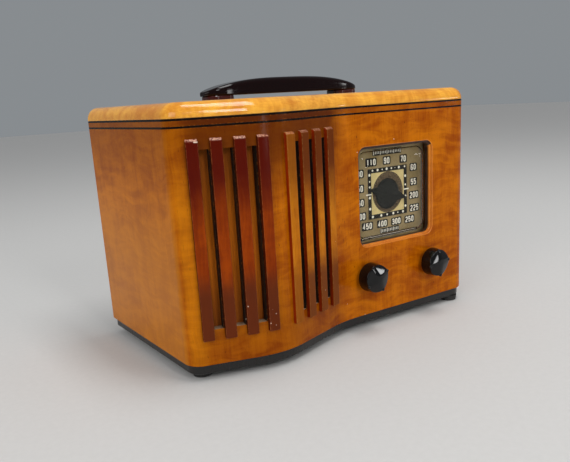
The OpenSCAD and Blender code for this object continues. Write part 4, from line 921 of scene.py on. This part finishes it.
def darken_openings(wrap):
    """Black sound slots, dark paint deepened as painted shade, with raw wood on their sills; the dial opening
    dark on its inner walls with dark paint and painted shade, painted shade on its upper and left lip, and a
    brighter lip lower right as painted highlight.
    """
    finishes = [CABINET, SLOT_BLACK_SHADE, RAW_EDGE, OPENING_PAINT_AND_SHADE, LIP_HIGHLIGHT]
    for finish in finishes[1:]:
        wrap.data.materials.append(finish)
    left, right = facet_x("left", SLAT_START), facet_x("right", LAST_SLAT)
    for face in wrap.data.polygons:
        x, y, z = (face.center - ORIGIN) / MM
        front = bend(along_front(min(max(x, 1), WIDTH - 1)), 0).y
        in_slot = left < x < right and SLAT_Z + 2 < z < SLAT_TOP - 2 and front + 0.3 < y < front + WALL + 1
        beside = abs(x - DIAL_X) - DIAL_W / 2
        above = abs(z - DIAL_Z) - DIAL_H / 2
        if in_slot:
            sill = face.normal.z > 0.8 and z < SLAT_Z + 2 * SLOT_MARGIN
            face.material_index = finishes.index(RAW_EDGE if sill else SLOT_BLACK_SHADE)
        elif max(beside, above) < 0.9 and 0.04 < y < WALL + 1:
            # Painted shade on the upper and left lip
            shaded = z > DIAL_Z + DIAL_H / 2 - 4 or x < DIAL_X - DIAL_W / 2 + 4
            darkened = y > LIP + 1 or shaded and y > 0.25
            face.material_index = finishes.index(OPENING_PAINT_AND_SHADE if darkened else LIP_HIGHLIGHT)


def inlay_string(name, z):
    """Black string that fills its groove, with eased edges."""
    rows = [(z + 0.02, STRING_D), (z + 0.02, 0.06), (z + 0.09, 0), (z + STRING_H - 0.09, 0),
            (z + STRING_H - 0.02, 0.06), (z + STRING_H - 0.02, STRING_D)]
    profile = [[(*bend(s, d), height) for height, d in rows] for s in STATIONS]
    piece(name + "_inlay", joined_rings(profile), STRING, [name])


TOP_T, TOP_ROLL = 9.5, 9.0


def top_panel():
    """Top whose front and sides roll over in a quarter turn."""
    rows = [(0.6, 0), (0.15, 0.12), (0.0, 0.5)]
    for k in range(19):
        angle = math.radians(5 * k)
        rows.append((TOP_ROLL * (1 - math.cos(angle)), TOP_T - TOP_ROLL + TOP_ROLL * math.sin(angle)))
    rings = [[(*bend(s, d), HEIGHT + z) for s in STATIONS] for d, z in rows]
    piece("top_panel_rolled", joined_rings(rings), TOP, ["top_panel"])


BASE_T, BASE_INSET = 6.5, 2.0


def base_board():
    """Black board under the cabinet, set in all round."""
    rows = [(1.4, -BASE_T), (0.5, -BASE_T + 0.15), (0.15, -BASE_T + 0.45), (0, -BASE_T + 1.1), (0, -0.7),
            (0.2, -0.2), (0.7, 0)]
    rings = []
    for d, z in rows:
        ring = [bend(s, BASE_INSET + d) for s in STATIONS]
        rings.append([(p.x, min(p.y, DEPTH - BASE_INSET - d), z) for p in ring])
    piece("base_board_lacquered", joined_rings(rings), BASE_BLACK, ["base_board"])


def slats(side, finish, side_finish):
    """Upright bars that follow the facet, with eased edges and sloping upper ends."""
    ease, bevel = 0.55, 0.16
    slope = SLAT_TOP - SLAT_SLOPE
    rows = ((ease, SLAT_Z, ease), (bevel, SLAT_Z + bevel, bevel), (0, SLAT_Z + ease, 0), (0, slope - 0.3, 0),
            (0, slope, 0.06), (0.03, slope + 0.25, 0.26), (0.08, SLAT_TOP - 0.35, SLAT_SLOPE - 0.3),
            (0.2, SLAT_TOP - 0.1, SLAT_SLOPE - 0.02), (0.4, SLAT_TOP, SLAT_SLOPE + 0.3))
    bars = []
    for i in range(SLAT_COUNT):
        start = SLAT_START + i * SLAT_PITCH
        s0, s1 = facet_s(side, start), facet_s(side, start + SLAT_W)
        rings = []
        for inset, z, back in rows:
            front = back - SLAT_OUT
            section = [(s0 + inset, 0), (s0 + inset, front + ease), (s0 + bevel + inset, front + bevel)]
            section += [(s0 + ease + (s1 - s0 - 2 * ease) * k / 4, front) for k in range(5)]
            section += [(s1 - bevel - inset, front + bevel), (s1 - inset, front + ease), (s1 - inset, 0)]
            rings.append([(*bend(s, d), z) for s, d in section])
        bars.append(joined_rings(rings))
    made = piece(f"slats_{side}_bars", together(*bars), finish, [f"slats_{side}"])
    made.data.materials.append(side_finish)
    for face in made.data.polygons:
        if abs(face.normal.x) > 0.85 and face.normal.z < 0.2:
            face.material_index = 1


def grille_cloth():
    """Woven cloth behind the slots, pulled tight over the wood with shallow hollows between."""
    lap = 4.0
    s0, s1 = along_front(WALL + lap), along_front(BAY_END - 1)
    z0, z1 = SLAT_Z + SLOT_MARGIN - lap, SLAT_TOP - SLOT_MARGIN + lap
    across, upright = 96, 40
    points, faces = [], []
    for i in range(across + 1):
        s = s0 + (s1 - s0) * i / across
        for j in range(upright + 1):
            t = j / upright
            sag = 0.12 + 0.1 * math.sin(7 * t + 0.35 * i) * math.sin(math.pi * t)
            points.append((*bend(s, WALL + sag), z0 + (z1 - z0) * t))
    rows = upright + 1
    for i in range(across):
        for j in range(upright):
            a = i * rows + j
            faces.append((a, a + rows, a + rows + 1, a + 1))
    cloth = piece("grille_cloth_woven", (points, faces), CLOTH, ["grille_cloth"],
                  weighted=False)


wrap = cabinet_wrap()
darken_openings(wrap)
inlay_string("string_lower", STRING_ZS[0])
inlay_string("string_upper", STRING_ZS[1])
top_panel()
base_board()
slats("left", SLATS_LEFT, SHADED_SIDE_LEFT)
slats("right", SLATS_RIGHT_LIT, LIT_SIDE_RIGHT)
grille_cloth()


# Dial

LENS_Y, LENS_RISE, LENS_T, LENS_SHOULDER, LENS_LAP = 6.5, 4.6, 0.9, 8.8, 5.0
PANE_W, PANE_H, PANE_R = DIAL_W - 2 * LIP - 4, DIAL_H - 2 * LIP - 4, 8.0
PLATE_W, PLATE_H, PLATE_R, PLATE_Y = 80, 78, 3, 12.0


def lens_rings(shrink):
    """Rings of the pane's swell, from its foot to its flat front, moved in by shrink."""
    rings = []
    steps = 20
    for k in range(steps + 1):
        angle = math.pi / 2 * k / steps
        side = 2 * (shrink + LENS_SHOULDER * (1 - math.cos(angle)))
        y = LENS_Y - (LENS_RISE - shrink) * math.sin(angle)
        rings.append(flat_ring(PANE_W - side, PANE_H - side, PANE_R - shrink, y))
    return rings


def flat_ring(width, height, radius, y):
    return [(DIAL_X + a, y, DIAL_Z + b) for a, b in rounded_rect(width, height, radius, 12)]


def dial_lens():
    """Swollen clear pane with an even wall and a flat flange behind the dial's opening."""
    back_y = LENS_Y + LENS_T
    back = flat_ring(PANE_W - 2 * LENS_T, PANE_H - 2 * LENS_T, PANE_R - LENS_T, back_y)
    flange = [flat_ring(DIAL_W + 2 * LENS_LAP, DIAL_H + 2 * LENS_LAP, DIAL_R, y) for y in (back_y, LENS_Y)]
    rings = lens_rings(LENS_T)[::-1] + [back] + flange + lens_rings(0)
    piece("dial_lens_swollen", joined_rings(rings), LENS, ["dial_lens"])


# Thickness of a printed layer
PRINT = 0.03


def printed(layer):
    """Depth of a printed layer on the plate; layer 1 is the lowest."""
    return PLATE_Y - PRINT * layer


def flat_patch(ring, layer):
    """Printed patch as a very thin slab; the ring holds (x, z) from the dial's centre."""
    rings = [[(DIAL_X + a, printed(layer) + t, DIAL_Z + b) for a, b in ring] for t in (PRINT, 0)]
    return joined_rings(rings)


def disc(x, z, radius, steps, layer):
    """Round printed patch; x and z from the dial's centre."""
    return flat_patch([(a, b) for a, _, b in around(x, z, radius, 0, steps)], layer)


def dial_plate():
    rows = ((0, PLATE_Y + 0.8), (0, PLATE_Y + 0.15), (0.15, PLATE_Y))
    rings = [flat_ring(PLATE_W - 2 * d, PLATE_H - 2 * d, PLATE_R, y) for d, y in rows]
    piece("dial_plate_bronze", joined_rings(rings), BRONZE, ["dial_plate"])


SQUARE_X, SQUARE_Z, SQUARE_W, SQUARE_H, SQUARE_EDGE = 1.2, -0.3, 41.0, 38.8, 3.4
# The middle of each number, from the dial's centre
LABELS = {
    "110": (-15.5, 24.1), "90": (0.4, 24.1), "70": (18.0, 23.8),
    "60": (29.0, 16.2), "55": (29.1, 4.6), "200": (29.5, -6.1), "225": (30.0, -16.6),
    "450": (-20.6, -24.5), "400": (-5.2, -24.6), "300": (9.8, -24.8), "250": (24.4, -25.2),
    "130": (-28.5, 16.4), "150": (-28.5, 5.2), "550": (-28.3, -5.7), "500": (-27.0, -16.2),
}
DIGIT_W, DIGIT_H, DIGIT_PITCH, DIGIT_HALF = 2.6, 4.9, 3.2, 0.47


def digit_strokes():
    """Strokes of each plain condensed numeral: (path, closed), in millimetres from its lower left corner."""
    w, h = DIGIT_W - 2 * DIGIT_HALF, DIGIT_H - 2 * DIGIT_HALF
    r = w / 2
    waist = h * 0.54
    over = arc(r, h - r, r, 180, 0)
    under = arc(r, r, r, 0, -180)
    six = arc(r, h - r, r, 0, 180) + arc(r, r, r, 180, 360) + arc(r, waist - r, r, 0, 180)
    return {
        "0": [(over + under, True)],
        "1": [([(r, 0), (r, h)], False)],
        "2": [(over + [(w, h * 0.62), (0, h * 0.2), (0, 0), (w, 0)], False)],
        "3": [(over + [(w, waist + 0.5), (r, waist), (w, waist - 0.5)] + under, False)],
        "4": [([(w * 0.7, 0), (w * 0.7, h), (0, h * 0.3), (w, h * 0.3)], False)],
        "5": [([(w, h), (0, h), (0, waist)] + arc(r, waist - 0.5, r, 110, 0) + under, False)],
        "6": [(six, False)],
        "7": [([(0, h), (w, h), (w * 0.4, 0)], False)],
        "9": [([(w - x, h - z) for x, z in six], False)],
    }


def ribbon(path, half, layer, closed=False):
    """Thin raised line of even width along a path of (x, z) from the dial's centre."""
    kept = [path[0]]
    for p in path[1:]:
        if math.dist(p, kept[-1]) > 0.02:
            kept.append(p)
    if closed and math.dist(kept[0], kept[-1]) < 0.02:
        kept.pop()
    count = len(kept)
    rings = []
    for i, (x, z) in enumerate(kept):
        here = Vector((x, z))
        before = Vector(kept[i - 1]) if closed or i else here
        after = Vector(kept[(i + 1) % count]) if closed or i < count - 1 else here
        runs = [d.normalized() for d in (here - before, after - here) if d.length]
        ahead = (runs[0] + runs[-1]).normalized()
        reach = half / max(0.45, ahead.dot(runs[0]))
        across = Vector((-ahead.y, ahead.x)) * reach
        ring = []
        for side, lift in ((1, 0), (1, 1), (-1, 1), (-1, 0)):
            p = here + across * side
            ring.append((DIAL_X + p.x, printed(layer) - PRINT * lift, DIAL_Z + p.y))
        rings.append(ring)
    if closed:
        rings.append(rings[0])
    return joined_rings(rings, not closed, not closed)


def dial_labels():
    """Plain numbers, each cream on its own black box with round corners."""
    strokes = digit_strokes()
    boxes, digits = [], []
    for text, (x, z) in LABELS.items():
        width = DIGIT_PITCH * len(text) + 1.7
        boxes.append(flat_patch(moved(rounded_rect(width, DIGIT_H + 1.5, 1.2), x, z), 1))
        for i, digit in enumerate(text):
            left = x + (i - len(text) / 2) * DIGIT_PITCH + (DIGIT_PITCH - DIGIT_W) / 2 + DIGIT_HALF
            for path, closed in strokes[digit]:
                low = z - DIGIT_H / 2 + DIGIT_HALF
                digits.append(ribbon(moved(path, left, low), DIGIT_HALF, 1, closed))
    piece("dial_number_boxes", together(*boxes), INK)
    piece("dial_numbers", together(*digits), CREAM, weighted=False)


def dial_bands():
    """Plain scale bands above and below the numbers: cream ticks on black, and one cream rule."""
    bands, marks = [], []
    for x, z, width, height, count in ((1.0, 31.0, 30.0, 5.0, 17), (2.4, -30.4, 20.6, 4.0, 12)):
        bands.append(flat_patch(moved(rounded_rect(width, height, 0.5, 3), x, z), 1))
        for k in range(count):
            tick = height * (0.38 if k % 4 == 0 else 0.26)
            tick_x = x + (k - (count - 1) / 2) * (width - 2.4) / (count - 1)
            marks.append(ribbon([(tick_x, z - tick), (tick_x, z + tick)], 0.34, 1))
    bands.append(flat_patch(moved(rounded_rect(61, 2.6, 0.8, 4), 2.6, -34.0), 1))
    marks.append(ribbon([(-26.5, -34.0), (31.5, -34.0)], 0.3, 1))
    piece("dial_scale_bands", together(*bands), INK)
    piece("dial_scale_ticks", together(*marks), CREAM, weighted=False)


def dial_square():
    """Black square border with cream dots and ticks round a pale yellow field, and the stippled disc."""
    cx, cz = SQUARE_X, SQUARE_Z
    outer = moved(rounded_rect(SQUARE_W, SQUARE_H, 0.4, 3), cx, cz)
    inner = moved(rounded_rect(SQUARE_W - 2 * SQUARE_EDGE, SQUARE_H - 2 * SQUARE_EDGE, 0.3, 3), cx, cz)
    piece("dial_border", flat_patch(outer, 2), INK)
    piece("dial_field", flat_patch(inner, 3), YELLOW)
    piece("dial_disc", disc(cx, cz, 16.0, 72, 4), STIPPLE)
    half_w, half_h = (SQUARE_W - SQUARE_EDGE) / 2, (SQUARE_H - SQUARE_EDGE) / 2
    large, middle, small = 1.05, 0.8, 0.6
    along_top = ((-14.4, middle), (-9.2, large), (-4.4, small), (0.2, large), (5.2, middle), (9.0, 0.35),
                 (13.2, large), (19.4, middle))
    right = ((10.2, large), (3.3, middle), (-5.9, large), (-13.7, large))
    along_foot = ((-15.0, large), (-6.2, large), (0.0, middle), (6.6, large), (11.5, small), (17.2, large))
    left = ((14.6, large), (9.6, small), (5.4, middle), (-2.8, large), (-11.4, large))
    spots = [(x, half_h, r) for x, r in along_top] + [(half_w + cx, z, r) for z, r in right]
    spots += [(x, -half_h - 0.2, r) for x, r in along_foot] + [(cx - half_w, z, r) for z, r in left]
    dots = [disc(x, z, r, 16, 4) for x, z, r in spots]
    for side in (-1, 1):
        middle_x = cx + side * (half_w + 1.0)
        dots.append(ribbon([(middle_x - 2.6, cz), (middle_x + 2.6, cz)], 0.5, 4))
    piece("dial_dots", together(*dots), CREAM)


POINTER_TURN = math.radians(15)
AXIS_Z = DIAL_Z - 1.4
NEEDLE_R, POINTER_BACK, POINTER_T = 19.5, PLATE_Y - 0.7, 2.6
# Radius and depth behind the pointer's front
HUB_DOME = [(0.0, 0.45), (2.0, 0.47), (4.0, 0.56), (6.0, 0.73), (8.0, 0.98), (9.6, 1.25), (10.8, 1.55),
            (11.5, 1.85), (11.9, 2.25), (12.0, POINTER_T), (0.0, POINTER_T)]


def dial_pointer():
    """Flat domed hub with a ridged needle through it."""
    front = POINTER_BACK - POINTER_T
    hub = joined_rings([around(DIAL_X, AXIS_Z, r, front + d, 72) for r, d in HUB_DOME], False, False)
    needle = []
    steps = 28
    cosine, sine = math.cos(POINTER_TURN), math.sin(POINTER_TURN)
    for k in range(-steps, steps + 1):
        u = k / steps
        half = 0.3 + 7.1 * (1 - abs(u)) ** 1.25 * (1 + 0.55 * abs(u))
        eave = front + 0.2 + 1.7 * half / 7.4
        flank = [(POINTER_BACK, half), (eave + 0.25, half), (eave, half - 0.12), (front + 0.06, 0.3)]
        section = [(y, -z) for y, z in flank] + [(front, 0)] + flank[::-1]
        x = NEEDLE_R * u
        turned = [(x * cosine + z * sine, y, z * cosine - x * sine) for y, z in section]
        needle.append([(DIAL_X + a, y, AXIS_Z + b) for a, y, b in turned])
    piece("dial_pointer_domed", together(hub, joined_rings(needle)), POINTER,
          ["dial_pointer"], "rotor", sharp=25)


dial_lens()
dial_plate()
dial_labels()
dial_bands()
dial_square()
dial_pointer()


# Knobs

KNOB_R, KNOB_RIM, KNOB_FLAT, KNOB_OUT, KNOB_SLOPE = 11.2, 10.6, 1.2, 15.3, 0.33
KNOB_BACK, SHAFT_END, SHOULDER_R, BEAD_R = -3.0, 4 - KNOB_OUT, KNOB_RIM - 0.55, 1.3


def softened(a, b, reach):
    """The larger of two heights, rounded where they meet."""
    near = max(reach - abs(a - b), 0) / reach
    return max(a, b) + near * near * reach / 4


def crown_y(radius, angle):
    """Depth of the knob's four-sided crown; its corners lie at whole quarter turns."""
    u = abs(radius * math.cos(angle + math.pi / 4))
    v = abs(radius * math.sin(angle + math.pi / 4))
    out = softened(u, v, 3.2) - KNOB_FLAT
    slope = out * KNOB_SLOPE * (0.72 + 0.28 * out / (KNOB_RIM - KNOB_FLAT))
    return softened(slope, 0, 0.6) - KNOB_OUT


def bead(x, y, z):
    """Round bead as rings with small caps."""
    rows = 12
    tilts = [math.pi * (j + 0.5) / rows for j in range(rows)]
    return joined_rings([around(x, z, BEAD_R * math.sin(t), y - BEAD_R * math.cos(t), 20) for t in tilts])


def knob(name, x, turn, body, node_name):
    """Round tapered flank under a four-sided crown, with a bead at each corner."""
    flank = [(SHAFT_R, SHAFT_END), (SHAFT_R, KNOB_BACK - 0.4), (SHAFT_R + 0.4, KNOB_BACK),
             (KNOB_R - 0.9, KNOB_BACK), (KNOB_R - 0.45, KNOB_BACK - 0.1), (KNOB_R - 0.1, KNOB_BACK - 0.45),
             (KNOB_R, KNOB_BACK - 0.9), (KNOB_R, KNOB_BACK - 2.3), (KNOB_R - 0.03, KNOB_BACK - 2.7),
             (KNOB_R - 0.2, -8.0), (KNOB_RIM + 0.08, -11.0)]
    steps, rows = 96, 11
    columns = []
    for k in range(steps):
        angle = 2 * math.pi * k / steps
        edge = crown_y(KNOB_RIM, angle)
        eased = KNOB_RIM - 0.24
        column = flank + [(KNOB_RIM, (edge - 11.0) / 2 + 0.2), (KNOB_RIM, edge + 0.45)]
        column += [(KNOB_RIM - 0.06, edge + 0.2), (eased, crown_y(eased, angle) + 0.03)]
        crown = [SHOULDER_R * (1 - j / rows) ** 0.9 for j in range(rows)]
        column += [(r, crown_y(r, angle)) for r in crown]
        across, up = math.cos(angle + turn), math.sin(angle + turn)
        columns.append([(x + r * across, y, KNOB_Z + r * up) for r, y in column])
    corners = [turn + q * math.pi / 2 for q in range(4)]
    bead_y, reach = crown_y(KNOB_RIM, 0) + 0.5, KNOB_RIM - 0.3
    beads = [bead(x + reach * math.cos(c), bead_y, KNOB_Z + reach * math.sin(c)) for c in corners]
    rings = list(zip(*columns))
    piece(name, together(joined_rings(rings), *beads), KNOB, [node_name], body, sharp=40)


knob("volume_knob_faceted", DIAL_X - KNOB_X, math.radians(27), "volume", "volume_knob")
knob("tuning_knob_faceted", DIAL_X + KNOB_X, math.radians(7), "spindle", "tuning_knob")


# Handle

HANDLE_LEN, HANDLE_W, HANDLE_Y, HANDLE_END = 143.0, 21.0, 69.0, 0.984
PAD_X, PAD_LEN, PAD_W, PAD_H, PAD_R = 57.8, 21.6, HANDLE_W - 2.4, 3.2, 6.5
HANDLE_Z = HEIGHT + TOP_T + PAD_H


def handle_ring(u):
    """Section at u from -1 to 1 of the handle's half length: flat below, rounded above."""
    rise = 2.6 + 9.1 * (1 - abs(u) ** 3)
    half = max(HANDLE_W / 2 * (1 - 0.12 * u * u) * math.sqrt(max(0.0, 1 - abs(u) ** 10)), 3)
    radius = min(rise, half) * 0.42
    low = min(1.0, rise / 2)
    section = [(0.8 - half, 0), (half - 0.8, 0), (half - 0.2, 0.25 * low), (half, low)]
    section += arc(half - radius, rise - radius, radius, 0, 90, 10)
    section += arc(radius - half, rise - radius, radius, 90, 180, 10)
    section += [(-half, low), (0.2 - half, 0.25 * low)]
    return [(WIDTH / 2 + u * HANDLE_LEN / 2, HANDLE_Y + y, HANDLE_Z + z) for y, z in section]


def handle():
    steps = 48
    rings = [handle_ring(HANDLE_END * math.sin(math.pi / 2 * k / steps)) for k in range(-steps, steps + 1)]
    piece("handle_moulded", joined_rings(rings), HANDLE, ["handle"], sharp=40)


def handle_pads():
    """Rounded pads that the handle stands on."""
    rows = [(0.3, 0.0), (0.0, 0.3), (0.0, PAD_H - 0.5), (0.4, PAD_H - 0.06), (0.8, PAD_H)]
    parts = []
    for x in (WIDTH / 2 - PAD_X, WIDTH / 2 + PAD_X):
        rings = []
        for inset, z in rows:
            ring = rounded_rect(PAD_LEN - 2 * inset, PAD_W - 2 * inset, PAD_R - inset, 10)
            rings.append([(x + a, HANDLE_Y + b, HEIGHT + TOP_T + z) for a, b in ring])
        parts.append(joined_rings(rings))
    piece("handle_pads_moulded", together(*parts), PAD, ["handle_pads"])


handle()
handle_pads()


# Studio


FLOOR_HALF = 6.0


def floor():
    mesh = bpy.data.meshes.new("floor")
    corners = [(x * FLOOR_HALF, y * FLOOR_HALF, 0) for x, y in ((-1, -1), (1, -1), (1, 1), (-1, 1))]
    mesh.from_pydata(corners, [], [(0, 1, 2, 3)])
    obj = bpy.data.objects.new("floor", mesh)
    add_to_scene(obj)
    made, tree, shader = material("pale_floor", Roughness=0.75, Specular_IOR_Level=0.2)
    place = node(tree, "TexCoord").outputs["Object"]
    grain = noise(tree, place, 240.0, 3.0, 0.6)
    fill(tree, shader["Base Color"], blended(tree, grain, (0.560, 0.552, 0.535), (0.610, 0.602, 0.585)))
    mesh.materials.append(made)


def lamp(name, place, aim, width, height, power, spread):
    data = bpy.data.lights.new(name, "AREA")
    data.shape = "RECTANGLE"
    data.size, data.size_y = width, height
    data.energy = power
    data.spread = math.radians(spread)
    obj = bpy.data.objects.new(name, data)
    obj.location = place
    obj.rotation_mode = "QUATERNION"
    obj.rotation_quaternion = (Vector(aim) - Vector(place)).to_track_quat("-Z", "Y")
    add_to_scene(obj)


def world():
    made = bpy.data.worlds.new("studio")
    bpy.context.scene.world = made
    made.use_nodes = True
    tree = made.node_tree
    tree.nodes.clear()
    path = node(tree, "LightPath").outputs
    mirrored = calc(tree, "MAXIMUM", path["Is Glossy Ray"], path["Is Transmission Ray"])
    seen = calc(tree, "MAXIMUM", path["Is Camera Ray"], mirrored)
    light = node(tree, "Background", {"Color": (0.95, 0.97, 1.0), "Strength": 0.5}).outputs[0]
    backdrop = node(tree, "Background", {"Color": (0.245, 0.262, 0.276), "Strength": 1.0}).outputs[0]
    mixed = node(tree, "MixShader", {0: seen, 1: light, 2: backdrop}).outputs[0]
    fill(tree, node(tree, "OutputWorld").inputs["Surface"], mixed)


floor()
world()
# Name, place and aim in metres, width, height, power in watts, spread in degrees
LAMPS = [
    ("overhead_lamp", (0.25, -0.38, 1.65), (0.25, -0.379, 0), 0.38, 1.1, 13, 180),
    ("window_lamp", (-0.11, -1.72, 1.09), (0, 0, 0.1), 0.25, 0.6, 7, 180),
    ("side_lamp", (-1.7, -0.7, 0.9), (0, 0, 0.1), 1.2, 1.0, 12, 180),
    ("right_lamp", (1.18, -0.98, 0.27), (0.02, -0.07, 0.05), 0.13, 0.15, 0.09, 60),
    ("front_lamp", (0.53, -1.49, 0.14), (0.08, -0.07, 0.05), 0.12, 0.14, 0.075, 60),
]
for row in LAMPS:
    lamp(*row)

bpy.context.scene.view_settings.view_transform = "Standard"
